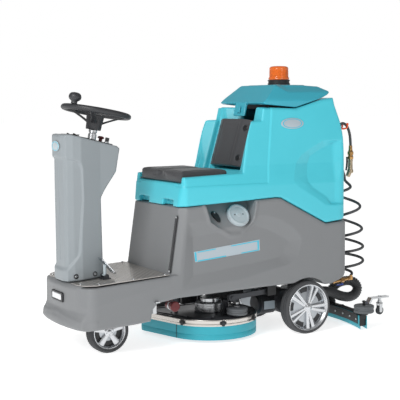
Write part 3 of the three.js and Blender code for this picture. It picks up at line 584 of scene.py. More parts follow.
def chassis_shell():
    """Lower body: side recess, bumper lip, wheel arches, scoop and battery room."""
    f = Field((-292, -930, 132), (292, 692, 770), STEP + 1)
    top = [(-898, 345), (-870, 358), (-401, 379), (-351, 706)] + [(y, z - 2) for y, z in PART_LINE[1:]]
    bottom = [(676, 305), (644, 280), (564, 252), (525, 251), (325, 274), (159, 274), (-368, 264),
              (-482, 250), (-512, 219), (-521, 165), (-603, 158), (-870, 148), (-898, 150)]
    form = both(f.side(top + bottom), f.plan(body_plan(0)), 13)
    inward = np.abs(f.x) > 200
    # side recess, crease over the foot deck and bevel at the front corner of the seat box
    rim = [(-318, 631), (-99, 648), (54, 642), (134, 646), (236, 614), (308, 571), (350, 529), (363, 502),
           (350, 446), (334, 412), (288, 381), (200, 367), (-17, 326), (-187, 314), (-351, 299)]
    floor = [(-280, 560), (-99, 575), (20, 590), (90, 589), (165, 566), (253, 522), (289, 497), (266, 473),
             (258, 439), (232, 419), (155, 408), (-10, 392), (-280, 366)]
    form = form + inward * 18 * ramp(rim, floor, f)
    crease = 270 + (f.y + 792) * 0.194
    form = form + inward * (f.y < -405) * np.clip((f.z - crease) * 0.11, 0, 9)
    corner = (np.abs(f.x) - 275 - (f.y + 401 - (f.z - 386) * 0.156)) * 0.707 + 25
    form = both(form, np.where(f.z > 380, corner, -200), 5)
    sill = (np.abs(f.x) - 275 + f.z - (361 + (f.y + 804) * 0.0494)) * 0.707 + 9
    form = both(form, np.where(f.y < -396, sill, -200), 3)
    # bumper lip: a cone that swells out of the plan and ends on a slope below
    out = f.plan(body_plan(0))
    lip = both(both(out - 21, (out - (226 - f.z) * 0.5) * 0.89, 6),
               149 + np.maximum(out - 8, 0) * 0.7 - f.z, 4)
    ends = np.maximum(np.maximum(np.abs(f.x) - 250, f.y + 792), f.z - 232)
    lip = both(lip, ends, 14)
    form = either(form, lip, 12)
    ridge = f.z - 214 + np.abs(f.x) * 0.09
    form = form - 2.5 * np.exp(-(ridge / 9) ** 2) * (f.y < -800)
    # room for the front wheel and the rear wheels
    room = both(f.block(-290, 290, -900, -500, 90, 340, 12), f.plan(body_plan(-17)), 8)
    form = less(form, room, 4)
    for side in (-1, 1):
        form = less(form, f.ball_rod((side * 196, REAR_AXLE_Y, REAR_RADIUS),
                                     (side * 320, REAR_AXLE_Y, REAR_RADIUS), REAR_RADIUS + 17), 5)
    # scoop for the filler cap, the battery room with its hatch, and the holes for cap and column
    scoop_side = fillet([(-238, 790), (-186, 630), (-64, 556), (2, 556), (60, 618), (94, 790)], 26)
    rim_out = f.side(scoop_side)
    form = form - 6 * ease(1 - np.abs(rim_out - 4) / 20) * (f.x > 225) * ease((735 - f.z) / 30)
    lean = ((278 - f.x) - (f.z - 568) * 0.7) * 0.819
    form = less(form, both(rim_out, lean, 8), 6)
    roof = f.z - np.interp(f.y, [y for y, _ in PART_LINE], [z for _, z in PART_LINE]) + 12
    form = less(form, both(f.block(-188, 188, -300, 640, 282, 640, 12), roof, 6), 3)
    form = less(form, f.block(-205, 128, -300, 470, 560, 900, 12), 3)
    neck = np.array((278 - (CAP_Z - 568) * 0.7, CAP_Y, CAP_Z), float)
    axis = np.array((0.819, 0, 0.574))
    form = less(form, f.ball_rod(neck - axis * 60, neck + axis * 10, 38))
    form = less(form, f.block(-62, 62, -862, -702, 300, 420, 8))
    f.mesh("body_shell", form, GREY, "chassis", ("chassis_shell",))


def tank_shell():
    """Recovery tank with armrests, seat bay, side recess and basin."""
    f = Field((-284, -368, 562), (284, 682, 1256), STEP)
    side = [(-356, 709), (206, 731), (236, 728), (522, 581), (640, 592), (666, 595), (668, 611), (668, 928),
            (657, 1030), (638, 1116), (606, 1201), (597, 1240), (530, 1232), (361, 1185), (151, 1193),
            (138, 1128), (60, 1127), (11, 868), (-331, 858)]
    width = mirrored([(275, 555), (275, 795), (262, 860), (255, 900), (233, 1193), (229, 1270)])
    right = [(238, -358), (275, -318)] + arc((205, 598), 70, 0, 90, 6)
    form = both(both(f.side(side), f.front(width), 14),
                f.plan(right + [(-x, y) for x, y in reversed(right)]), 12)
    inward = np.abs(f.x) > 190
    rim = [(700, 1015), (517, 1015), (438, 979), (374, 944), (341, 908), (323, 856), (313, 814), (342, 781),
           (439, 728), (525, 674), (700, 672)]
    floor = [(700, 1007), (600, 1007), (500, 966), (441, 936), (422, 899), (412, 835), (415, 803), (448, 769),
             (534, 717), (561, 682), (700, 682)]
    form = form + inward * 19 * ramp(rim, floor, f) * ease((655 - f.y) / 75)
    brk = (f.y - 160 - (f.z - 810) * 0.1214) * 0.993
    form = form + inward * (f.z > 806) * 4 * ease(-brk / 6)
    seat = f.side([(-420, 822), (14, 822), (40, 905), (40, 1300), (-420, 1300)])
    form = less(form, both(seat, np.abs(f.x) - 231, 8), 10)
    back = f.side([(-60, 822), (56.5, 822), (151.5, 1135), (151.5, 1300), (-60, 1300)])
    form = less(form, both(back, np.abs(f.x) - 182, 10), 14)
    # bevelled shoulders beside the backrest, and the notch for the lid's tongue
    pad_face = BACKREST_Y + (f.z - BACKREST_Z) * 73 / 241
    bevel = (f.y - pad_face - 12 + 0.8 * (np.abs(f.x) - 182)) * 0.78
    form = less(form, both(bevel, np.maximum(870 - f.z, np.abs(f.x) - 240), 8), 6)
    form = less(form, f.block(-60, 60, 60, 173, 1120, 1320, 5), 4)
    for a, b in ((-188, -76), (76, 188)):
        form = less(form, f.block(a, b, -420, -322, 640, 741, 5), 3)
    form = less(form, f.block(-162, 162, 222, 518, 760, 1400, 30), 6)
    f.mesh("tank_body", form, TEAL, "tank", ("recovery_tank",))


def lid_shell():
    """Faceted lid with its tongue and the seal below it."""
    f = Field((-236, 140, 1180), (236, 614, 1320), STEP - 1)
    side = [(160, 1216), (178, 1207), (361, 1191), (540, 1241), (600, 1264), (597, 1274), (556, 1300),
            (470, 1306), (267, 1308)]
    width = mirrored([(222, 1180), (224, 1224), (176, 1304), (168, 1330)])
    plan = mirrored([(218, 150), (226, 260), (226, 528), (212, 575), (184, 604)])
    form = both(both(f.side(side), f.front(width), 5), f.plan(plan), 10)
    slope = (f.z - 1308 + (267 - f.y) * 0.86) * 0.758
    form = both(form, slope, 4)
    facet = (np.abs(f.x) - 176) * 0.5 + (f.z - 1305) * 0.86 + 20 * ease((f.y - 255) / 90)
    form = both(form, facet, 4)
    form = less(form, f.block(-202, 202, 187, 532, 1140, 1240, 14), 2)
    panel = f.plan(plaque(-150, 150, 290, 480, 30))
    form = form - 2.2 * ease(-panel / 5) * (f.z > 1290)
    f.mesh("lid_body", form, LID, "lid", ("tank_lid",))
    p = Parts()
    p.prism([(146, 1148), (155, 1146), (173, 1214), (166, 1222), (160, 1216)], across_x, -52, 52, 2)
    p.prism([(141, 1166), (146, 1162), (153, 1196), (148, 1198)], across_x, -14, 14, 1.5)
    p.make("lid_tongue", LID, "lid", "tank_teal")
    p = Parts()
    p.prism([(240, 1184), (361, 1178), (500, 1217), (500, 1238), (361, 1197), (240, 1206)], across_x,
            -150, 150, 2)
    p.make("lid_seal", BLACK, "lid", "black_plastic")


def cowl_shell():
    """Steering column with a raised rim round its front panel."""
    f = Field((-112, -906, 352), (112, -560, 1086), STEP - 1)
    side = fillet([(-885, 363), (-683, 372), (-683, 470), (-688, 760), (-665, 800), (-602, 885),
                   (-585, 975), (-580, 998), (-594, 1010), (-855, 1074), (-884, 1070), (-888, 1055),
                   (-888, 966), (-885, 958)], [0, 0, 60, 40, 20, 20, 20, 8, 12, 14, 8, 6, 3, 3])
    plan = mirrored([(70, -570), (78, -690), (101, -800), (97, -840), (85, -874), (40, -890)])
    form = both(f.side(side), f.plan(plan), 8)
    panel = f.side(fillet([(-1100, 972), (-880, 966), (-790, 945), (-786, 757), (-808, 488), (-880, 408),
                           (-1100, 400)], [0, 40, 60, 60, 60, 60, 0], 8))
    form = form + 9 * ease(-panel / 13) * ease((f.z - 396) / 30)
    form = less(form, f.block(-2.6, 2.6, -900, -872, 463, 930, 2.4), 1.5)
    wall = 7
    form = less(form, form + wall)
    form = less(form, f.block(-66, 66, -866, -694, 340, 392, 6))
    form = less(form, f.ball_rod(on_column(0, 0, -200), on_column(0, 0, -60), 25), 2)
    f.mesh("cowl_body", form, COLUMN, "chassis", ("steering_cowl",))


# ---------------------------------------------------------------- seat
def swell(piece, cap, pinned, pressure=4.0):
    """Cloth under pressure, with each point's way capped in metres; pinned says which points stay."""
    data = piece.data
    count = len(data.vertices)
    rest = np.empty(count * 3, np.float32)
    data.vertices.foreach_get("co", rest)
    rest = rest.reshape(-1, 3)
    group = piece.vertex_groups.new(name="held")
    group.add([int(i) for i in np.nonzero(pinned(rest))[0]], 1.0, "REPLACE")
    cloth = piece.modifiers.new("cloth", "CLOTH")
    cloth.settings.use_pressure = True
    cloth.settings.uniform_pressure_force = pressure
    cloth.settings.effector_weights.gravity = 0
    cloth.settings.vertex_group_mass = "held"
    cloth.settings.quality = 5
    cloth.collision_settings.use_collision = False
    last_frame = 20
    for number in range(1, last_frame + 1):
        scene.frame_set(number)
    graph = bpy.context.evaluated_depsgraph_get()
    swollen = piece.evaluated_get(graph).to_mesh()
    moved = np.empty(count * 3, np.float32)
    swollen.vertices.foreach_get("co", moved)
    way = moved.reshape(-1, 3) - rest
    piece.evaluated_get(graph).to_mesh_clear()
    piece.modifiers.remove(cloth)
    piece.vertex_groups.remove(group)
    length = np.linalg.norm(way, axis=1)[:, None]
    way *= np.tanh(length / cap) * cap / np.maximum(length, 1e-6)
    data.vertices.foreach_set("co", (rest + way).ravel())
    data.update()
    scene.frame_set(1)


def press_seams(piece, depth, seams):
    """Sink sewn seams: seams maps points in millimetres to a distance from the nearest one."""
    data = piece.data
    co = np.empty(len(data.vertices) * 3, np.float32)
    normal = np.empty_like(co)
    data.vertices.foreach_get("co", co)
    data.vertices.foreach_get("normal", normal)
    co, normal = co.reshape(-1, 3), normal.reshape(-1, 3)
    seam_width = 5.0
    fall = depth * np.exp(-(seams(co * 1000) / seam_width) ** 2) / 1000
    data.vertices.foreach_set("co", (co - normal * fall[:, None]).ravel())
    data.update()


def refine(piece):
    """One level of subdivision."""
    piece.modifiers.new("fine", "SUBSURF").levels = 1
    piece.modifiers["fine"].render_levels = 1


def seat_cushion():
    """Two raised pads with a channel between them, on a thin base strip."""
    f = Field((-236, -345, 815), (236, -34, 892), 4.0)
    plan = mirrored(fillet([(216, -329), (225, -316), (225, -64), (216, -50)], 6))
    side = [(-329, 824), (-50, 824), (-50, 881), (-329, 881)]
    form = both(both(f.side(side), np.abs(f.x) - 225, 14), f.plan(plan), 12)
    channel = ease(1 - np.abs(f.x + 6) / 44)
    form = form + 9 * channel * ease((f.z - 838) / 30)
    piece = f.mesh("seat_pad", form, VINYL, "tank", ("seat_cushion",))
    swell(piece, 0.004, lambda p: (p[:, 2] < 0.829) | (p[:, 1] > -0.056), 2.5)
    press_seams(piece, 1.2, lambda p: np.where(p[:, 2] > 850, np.abs(np.abs(p[:, 0] + 6) - 48), 99.0))
    refine(piece)
    p = Parts()
    for s in (-1, 1):
        p.prism(plaque(-322, -56, 823, 832, 3), across_x, s * 227.5 - 3.5, s * 227.5 + 2, 1)
    p.make("seat_base_strip", PIPING, "tank", "cushion_black")


def backrest():
    """Firm padded shell with chamfered edges and a bolt in a round cup near each corner."""
    f = Field((-168, 12, 878), (168, 172, 1150), 4.0)
    low, high = 45, 205  # bolts, measured up the face
    cup = 13.3  # how far a bolt's cup lies below the face
    cos, sin = math.cos(BACKREST_LEAN), math.sin(BACKREST_LEAN)

    def depth(y, z):
        """How far a point lies behind the face."""
        return (y - BACKREST_Y) * cos - (z - BACKREST_Z) * sin

    def height(y, z):
        """How far a point lies up the face."""
        return (z - BACKREST_Z) * cos + (y - BACKREST_Y) * sin
    away, along = depth(f.y, f.z), height(f.y, f.z)
    pad = both(np.abs(away - 20) - 19.5, np.abs(along - 126) - 126, 7)
    pad = both(pad, np.abs(f.x) - 154, 5)
    chamfer = ((np.abs(f.x) - 97) * 24 - away * 54) / 59.1
    form = both(pad, chamfer, 3)
    spots = [(s, Vector((s * 126, BACKREST_Y + up * sin + cup * cos, BACKREST_Z + up * cos - cup * sin)))
             for s in (-1, 1) for up in (low, high)]
    facing = {s: Vector((s * 0.406, -0.914 * cos, 0.914 * sin)) for s in (-1, 1)}
    for s, spot in spots:
        form = less(form, f.ball_rod(spot - facing[s] * 6, spot + facing[s] * 12, 15), 2.5)
    piece = f.mesh("back_pad", form, VINYL, "tank", ("backrest",))
    swell(piece, 0.002, lambda p: (np.abs(p[:, 0]) > 0.1) | (np.abs(p[:, 2] - 1.0145) > 0.1)
          | (depth(p[:, 1] * 1000, p[:, 2] * 1000) > 12), 2.0)
    press_seams(piece, 1.6, lambda p: np.where(
        depth(p[:, 1], p[:, 2]) < 8,
        np.abs(np.maximum(np.abs(p[:, 0]) - 78, np.abs(height(p[:, 1], p[:, 2]) - 126) - 104)), 99.0))
    refine(piece)
    p = Parts()
    for s, spot in spots:
        p.lathe([(8, 0), (13.5, 0), (13.5, 4), (11, 5), (8, 2)], spot - facing[s] * 6, facing[s], 28,
                closed=True)
        p.bolt(spot - facing[s] * 6, facing[s], 7, 6)
    p.make("backrest_bolts", BLACK, "tank", "black_plastic")


# ---------------------------------------------------------------- wheels
def tyre(name, x, y, radius, width, bead, side, body, replaced):
    """Tyre with a ribbed sidewall and shallow tread grooves; x is the outer face."""
    p = Parts()
    h = width / 2
    profile = [(bead, 4 - h), (bead + 3, 2 - h), (radius - 9, -h), (radius - 6, 1.5 - h),
               (radius - 2.5, 5 - h)]
    grooves = [-0.55, 0, 0.55]
    for g in grooves:
        c = g * h
        profile += [(radius, c - 3.2), (radius - 3, c - 2.2), (radius - 3, c + 2.2), (radius, c + 3.2)]
    profile += [(radius - 2.5, h - 5), (radius - 6, h - 1.5), (radius - 9, h), (bead + 3, h - 2),
                (bead, h - 4)]
    p.lathe(profile, (side * (x - h), y, radius), (1, 0, 0), 72, closed=True)
    p.make(name, TREAD, body, "tyre_black", replaced)


def rim(name, x, y, radius, width, bead, side, bore, body, replaced, split):
    """Cast rim: barrel, bead lip, hub with nuts and five spokes, each one split in two when split is true."""
    p = Parts()
    h = width / 2
    centre = (side * (x - h), y, radius)
    w = (side, 0, 0)
    p.lathe([(bead - 0.4, 4 - h), (bead - 0.4, h - 4), (bead - 2, h - 1.5), (bead - 6, h - 2.5),
             (bead - 9, h - 8), (bead - 13, h - 14), (bead - 13, 6 - h), (bead - 10, 4 - h)], centre, w, 72,
            closed=True)
    p.lathe([(bore, 8 - h), (24, 8 - h), (26, h - 18), (24, h - 8), (19, h - 5), (bore, h - 5)], centre,
            w, 40, True)
    p.lathe([(0, h - 9), (bore + 2, h - 9), (bore + 2, h - 4), (bore - 2, h - 1.5), (0, h - 0.5)],
            centre, w, 28)
    spokes = []
    for k in range(5):
        a = math.radians((65 if split else 90) + 72 * k)
        spokes += [(a - 0.24, a - 0.15), (a + 0.24, a + 0.15)] if split else [(a, a)]
    reach = bead - 10
    for a0, a1 in spokes:
        wide = (7.5, 11) if split else (11, 17)
        u0, u1 = (20 * math.cos(a0), 20 * math.sin(a0)), (reach * math.cos(a1), reach * math.sin(a1))
        dx, dy = u1[0] - u0[0], u1[1] - u0[1]
        n = math.hypot(dx, dy)
        nx, ny = -dy / n, dx / n
        points = []
        for (u, v), half, lift in ((u0, wide[0], h - 8), (u1, wide[1], h - 10)):
            for s, z in ((-1, lift - 16), (1, lift - 16), (1, lift - 3), (0.55, lift), (-0.55, lift),
                         (-1, lift - 3)):
                points.append((centre[0] + side * z, centre[1] + (u + nx * half * s),
                               centre[2] + (v + ny * half * s)))
        faces = [tuple(range(6)), tuple(range(11, 5, -1))]
        faces += [(i, i + 6, (i + 1) % 6 + 6, (i + 1) % 6) for i in range(6)]
        p.add(points, faces if side > 0 else [tuple(reversed(f)) for f in faces])
    for k in range(5):
        a = math.radians(126 + 72 * k)
        spot = (centre[0] + side * (h - 7), centre[1] + 15.5 * math.cos(a), centre[2] + 15.5 * math.sin(a))
        p.bolt(spot, w, 2.6, 3.5)
    p.make(name, ALLOY, body, "chrome_silver", replaced)
    p, shade_windows = Parts(), Parts()
    p.lathe([(24, h - 36), (bead - 13, h - 34), (bead - 13, h - 30), (bead - 32, h - 26), (40, h - 22),
             (24, h - 19)], centre, w, 60, True)
    p.make(name + "_dish", DISH, body, "chrome_silver")
    # Black shapes in the dish between the spokes: painted shade standing in for the wheel's open windows, not
    # a black part.
    inner, outer, half_angle = (bead * 0.66, bead * 0.85, 14) if split else (bead * 0.46, bead * 0.84, 20)
    for k in range(5):
        a = (101 if split else 126) + 72 * k
        ring = arc((0, 0), outer, a - half_angle, a + half_angle, 8)
        ring += arc((0, 0), inner, a + half_angle, a - half_angle, 8)
        shade_windows.prism(fillet(ring, 3), lambda u, v, w: (centre[0] + side * w, centre[1] + u, centre[2] + v),
                    h - 30, h - 24, 1)
    shade_windows.make(name + "_slots", BLACK, body, "black_plastic")


def wheels():
    """Rear wheels on both sides and the front wheel on its offset axle."""
    for word, side in (("left", 1), ("right", -1)):
        tyre("rear_tread_" + word, 285, REAR_AXLE_Y, REAR_RADIUS, 70, REAR_BEAD, side, "rear_wheel_" + word,
             ("rear_tyre_" + word,))
        rim("rear_casting_" + word, 285, REAR_AXLE_Y, REAR_RADIUS, 70, REAR_BEAD, side, 15.4,
            "rear_wheel_" + word, ("rear_rim_" + word,), True)
    tyre("front_tread", 132, FRONT_AXLE_Y, FRONT_RADIUS, 62, FRONT_BEAD, 1, "front_wheel", ("front_tyre",))
    rim("front_casting", 132, FRONT_AXLE_Y, FRONT_RADIUS, 62, FRONT_BEAD, 1, 9.5, "front_wheel",
        ("front_rim",), False)


# ---------------------------------------------------------------- foot deck, headlight and fittings
def deck_height(y):
    """Height of the sloped foot deck at y."""
    return 361 + (y + 804) * 23 / 466


def on_deck(u, v, w):
    return (u, v, deck_height(v) + w)


def foot_plate():
    """Aluminium tread plate with raised lozenges, cut out round the cowl's foot."""
    p = Parts()
    outline = [(-256, -800), (-222, -846), (-170, -866), (-100.5, -866), (-100.5, -762), (-75, -672),
               (75, -672), (100.5, -762), (100.5, -866), (170, -866), (222, -846), (256, -800), (256, -412),
               (-256, -412)]
    n = len(outline)
    p.add([on_deck(x, y, z) for z in (0.4, 3.2) for x, y in outline],
          [tuple(range(n - 1, -1, -1)), tuple(range(n, 2 * n))]
          + [(i, (i + 1) % n, (i + 1) % n + n, i + n) for i in range(n)])
    pitch = 17.0
    ring = [(7.6, 0), (3.6, 1.9), (-3.6, 1.9), (-7.6, 0), (-3.6, -1.9), (3.6, -1.9)]  # one lozenge
    for i in range(-15, 16):
        for k in range(28):
            x, y = i * pitch, -856 + k * pitch
            foot = 100.5 if y < -762 else 100.5 - (y + 762) * 0.283
            past_edge = abs(x) > 247 or abs(x) - 236 > (y + 812) * 0.8 or y > -422
            if (past_edge or (y < -664 and abs(x) < foot + 10)
                    or (abs(x - PEDAL_X) < 34 and -728 < y < -662)):
                continue
            a = math.radians(45 if (i + k) % 2 else -45)
            ca, sa = math.cos(a), math.sin(a)
            base = [on_deck(x + u * ca - v * sa, y + u * sa + v * ca, 3.1) for u, v in ring]
            top = [on_deck(x + u * 0.72 * ca - v * 0.5 * sa, y + u * 0.72 * sa + v * 0.5 * ca, 4.3)
                   for u, v in ring]
            p.add(base + top, [tuple(range(6, 12))]
                  + [(j, (j + 1) % 6, (j + 1) % 6 + 6, j + 6) for j in range(6)])
    p.make("tread_plate", PLATE, "chassis", "checker_plate", ("foot_plate",), angle=20)
    q = Parts()
    for x, y in [(s * x, y) for x, y in ((242, -780), (242, -600), (242, -430), (176, -848))
                 for s in (-1, 1)]:
        q.bolt(on_deck(x, y, 3.2), (0, -0.05, 1), 6.2, 4.5)
    q.make("plate_bolts", STEEL, "chassis", "bright_steel")
    r = Parts()
    r.box(92, 144, -716, -672, 369, 375.5, 1.2)
    for x in (92, 137):
        r.prism(fillet([(-706, 374), (-682, 374), (-682, 387), (-688, 394), (-700, 394), (-706, 387)], 3),
                across_x, x, x + 7, 0.8)
    r.make("pedal_bracket", DARK, "chassis", "dark_steel")


def pedal():
    """Post on its pivot with a ribbed tread."""
    p = Parts()
    p.rod((PEDAL_X - 18, PEDAL_Y, PEDAL_Z), (PEDAL_X + 18, PEDAL_Y, PEDAL_Z), 6, 20)
    p.rod((PEDAL_X, PEDAL_Y, PEDAL_Z + 3), (PEDAL_X, PEDAL_Y, PEDAL_Z + 52), 8.5, 20)
    p.make("pedal_post", CAP, "pedal_body", "bright_steel", ("pedal",))
    q = Parts()
    low, high = Vector((0, -645, 391)), Vector((0, -719, 473))
    along = (high - low).normalized()
    out = Vector((0, along.z, -along.y)) * -1
    length = (high - low).length

    def on_tread(u, v, w):
        return Vector((PEDAL_X + u, 0, 0)) + low + along * v + out * w
    q.prism(plaque(-29, 29, 0, length, 8), on_tread, -2.5, 2.5, 1)
    for k in range(9):
        v = 12 + k * (length - 24) / 8
        q.prism(plaque(-23, 23, v - 2.4, v + 2.4, 2), on_tread, 2, 4, 0.6)
    q.make("pedal_tread", CHROME, "pedal_body", "bright_steel")


def headlight():
    """Lens with upright ribs in a black bezel."""
    p = Parts()
    p.prism(plaque(-70, 70, 264, 310, 9), along_y, -899, -889, 2)
    p.make("headlight_bezel", BLACK, "chassis", "black_plastic")
    p = Parts()
    p.prism(plaque(-54, 54, 273, 301, 5), along_y, -901, -896, 1.5)
    for k in range(11):
        x = -46 + k * 9.2
        p.prism([(x - 3.2, 276), (x + 3.2, 276), (x + 3.2, 298), (x - 3.2, 298)], along_y, -902.5, -900, 1)
    p.make("headlight_lens", GLASSY, "chassis", "clear_plastic", ("headlight",))


def cowl_fittings():
    """Plain oval badge with a ring, and the bolts at the cowl's foot."""
    p = Parts()
    p.lathe([(0, 0), (1, 0), (1, 1.2), (0.94, 1.8), (0, 1.8)], (0, 0, 0), (0, -1, 0), 48)
    p.points = [(x * 47.5, -889.6 + y, 1016 + z * 25) for x, y, z in p.points]
    p.make("cowl_badge", CAP, "chassis", "cap_grey")
    p = Parts()
    p.lathe([(0.8, 0), (0.9, 0), (0.9, 0.7), (0.8, 0.7)], (0, 0, 0), (0, -1, 0), 48, closed=True)
    p.points = [(x * 47.5, -891.2 + y, 1016 + z * 25) for x, y, z in p.points]
    p.make("cowl_badge_ring", LINE, "chassis", "tank_teal")
    p, rings = Parts(), Parts()
    for s in (-1, 1):
        for at, axis in (((s * 93, -836, 389), (s, 0, 0)), ((s * 83, -734, 392), (s * 0.98, 0.2, 0))):
            p.bolt(at, axis, 9, 8)
            rings.lathe([(8.4, 3), (12, 3), (12, 7), (8.4, 8)], at, axis, 28, closed=True)
    p.make("cowl_bolts", STEEL, "chassis", "bright_steel")
    rings.make("cowl_bolt_cups", BLACK, "chassis", "black_plastic")


def dash():
    """Plate with its display, the key and the stop button."""
    cos, sin = math.cos(DASH_SLOPE), math.sin(DASH_SLOPE)
    normal = Vector((0, sin, cos))

    def on_dash(x, y, w):
        return Vector((x, y, DASH_Z - (y - DASH_Y) * math.tan(DASH_SLOPE))) + normal * w
    p = Parts()
    outline = plaque(-62, 62, -840, -612, 14)
    p.prism(outline, on_dash, 0.4, 4, 1)
    p.prism(plaque(-50, 50, -760, -700, 6), on_dash, 3.8, 6, 0.8)
    p.make("dash_plate", BLACK, "chassis", "black_plastic", ("dash_panel",))
    p = Parts()
    p.prism(plaque(-42, 42, -753, -707, 4), on_dash, 5.8, 6.6, 0.3)
    p.make("dash_display", LENS_DARK, "chassis", "black_plastic")
    p = Parts()
    at = on_dash(40, -640, 4.6)
    p.lathe([(0, 0), (12, 0), (12, 3), (10, 5), (9, 8), (0, 8)], at, normal, 28)
    p.make("key_barrel", STEEL, "key", "bright_steel", ("key_switch",))
    p = Parts()
    p.prism(plaque(-3, 3, -10, 10, 1),
            lambda u, v, w: Vector((u, v * cos, -v * sin)) + at + normal * w, 8, 26, 0.8)
    p.make("key_blade", BLACK, "key", "black_plastic")
    p = Parts()
    p.lathe([(0, 0), (9, 0), (9, 12), (13, 13), (16.2, 15), (16.6, 19), (14.5, 23), (9, 25.5), (0, 26.2)],
            on_dash(-38, -640, 10.5), normal, 36)
    p.make("stop_mushroom", STOP, "stop", "red_plastic", ("stop_button",))


def level_gauge():
    """Dark sight slot with silver ends, on the front of the seat box."""
    low, high = Vector((245, -409, 394)), Vector((245, -366, 664))
    along = (high - low).normalized()
    back = Vector((0, along.z, -along.y))
    p = Parts()
    p.prism(plaque(-5, 5, -4, 279, 4.5),
            lambda u, v, w: low + Vector((u, 0, 0)) + along * v + back * w, 2, 9, 1.5)
    p.make("gauge_slot", BLACK, "chassis", "black_plastic")
    p = Parts()
    p.rod(low + along * 8, high - along * 8, 3.4, 20)
    p.make("gauge_tube", TUBE, "chassis", "clear_plastic", ("level_tube",))
    p = Parts()
    p.rod(low - along, low + along * 8, 4.6, 20)
    p.rod(high - along * 8, high + along, 4.6, 20)
    p.make("gauge_ends", STEEL, "chassis", "bright_steel")


def scoop_fittings():
    """Knurled filler cap with two holes drawn as black discs of painted shade, and the leaf-shaped socket
    cover.
    """
    lean = math.radians(55)
    n = Vector((math.sin(lean), 0, math.cos(lean)))
    u = Vector((math.cos(lean), 0, -math.sin(lean)))

    def on_scoop(y, z, a, b, w):
        return Vector((278 - (z - 568) * 0.7002, y, z)) + u * a + Vector((0, b, 0)) + n * w
    base = on_scoop(CAP_Y, CAP_Z, 0, 0, 0)
    p = Parts()
    p.lathe([(0, 0.4), (58, 0.4), (60, 3), (60, 18), (58, 23), (52, 25.6), (46, 24), (44, 22.6), (14, 21.6),
             (12, 23.2), (0, 23.4)], base, n, 96)

    def knurled(k, q):
        """Every other pair of points on the two widest rings stands out."""
        if k // 96 not in (2, 3) or k % 4 > 1:
            return q
        away = Vector(q) - base
        return tuple(Vector(q) + (away - n * away.dot(n)).normalized() * 1.6)
    p.points = [knurled(k, q) for k, q in enumerate(p.points)]
    p.make("filler_lid", CAP, "filler_cap_body", "cap_grey", ("filler_cap",))
    p = Parts()
    # Black discs laid on the cap's face: painted shade where its two holes are.
    for b in (-24, 24):
        p.lathe([(0, 0), (3.6, 0), (3.6, 0.8), (0, 0.8)], on_scoop(CAP_Y, CAP_Z, 0, b, 22), n, 20)
    p.make("filler_hole_shade", BLACK, "filler_cap_body", "black_plastic")
    leaf = []
    for k in range(24):
        a = 2 * math.pi * k / 24
        leaf.append((24 * math.sin(a) * (1 - 0.28 * math.cos(a)), 34 * math.cos(a)))
    p = Parts()
    p.prism(leaf, lambda a, b, w: on_scoop(FLAP_Y, FLAP_Z, b * 0.95 + a * 0.2, a * 0.8 + b * 0.2, w),
            0.4, 8, 2.5)
    p.make("socket_leaf", FRAME, "socket_cover_body", "black_plastic", ("socket_cover",))
    p = Parts()
    p.bolt(on_scoop(FLAP_Y, FLAP_Z, -22, -4, 7), n, 5, 3)
    p.make("socket_screw", STEEL, "socket_cover_body", "bright_steel")


def badges():
    """Plain label stripe on the body and plain oval plates on the tank, on both sides."""
    stripe, accents, ovals, rings = Parts(), Parts(), Parts(), Parts()
    for s in (-1, 1):
        def plate(u, v, w, s=s):
            return (s * (256.6 + w), u, v)
        stripe.prism([(-275, 485), (110, 520), (113, 463), (-268, 432)], plate, 0.2, 2.0, 0.5)
        for a in ([(-272, 482), (-262, 483), (-258, 438), (-268, 436)],
                  [(-255, 484), (-150, 493), (-150, 488), (-255, 479)],
                  [(-60, 501), (105, 516), (106, 511), (-60, 496)],
                  [(-255, 440), (-90, 453), (-90, 447), (-255, 434)],
                  [(0, 460), (106, 469), (107, 464), (0, 455)],
                  [(96, 512), (105, 513), (107, 470), (98, 469)]):
            accents.prism(a, plate, 1.8, 2.6, 0.2)
        for target, profile, low, high in (
                (ovals, [(0, 0), (1, 0), (1, 0.7), (0.95, 1), (0, 1)], 0.0, 2.4),
                (rings, [(0.78, 0), (0.86, 0), (0.86, 1), (0.78, 1)], 2.2, 3.2)):
            q = Parts().lathe(profile, (0, 0, 0), (0, 0, 1), 48, closed=target is rings)
            tilt = math.atan2(22, 293)
            face = 255 - (1108 - 900) * 22 / 293 + 0.2
            points = [(s * (face + (low + z * (high - low)) * math.cos(tilt) - y * 28 * math.sin(tilt)),
                       325 + x * 70, 1108 + y * 28 * math.cos(tilt)) for x, y, z in q.points]
            target.add(points, q.faces if s < 0 else [tuple(reversed(f)) for f in q.faces])
    stripe.make("label_stripe", LABEL, "chassis", "cap_grey")
    accents.make("label_accents", LINE, "chassis", "tank_teal")
    ovals.make("tank_badges", LABEL, "tank", "cap_grey")
    rings.make("tank_badge_rings", LINE, "tank", "tank_teal")


# ---------------------------------------------------------------- steering wheel
def on_column(x, y, z):
    """Point in the hand wheel's own axes, with z up the column."""
    cos, sin = math.cos(COLUMN_TILT), math.sin(COLUMN_TILT)
    return Vector((x, COLUMN_Y + y * cos + z * sin, COLUMN_Z - y * sin + z * cos))


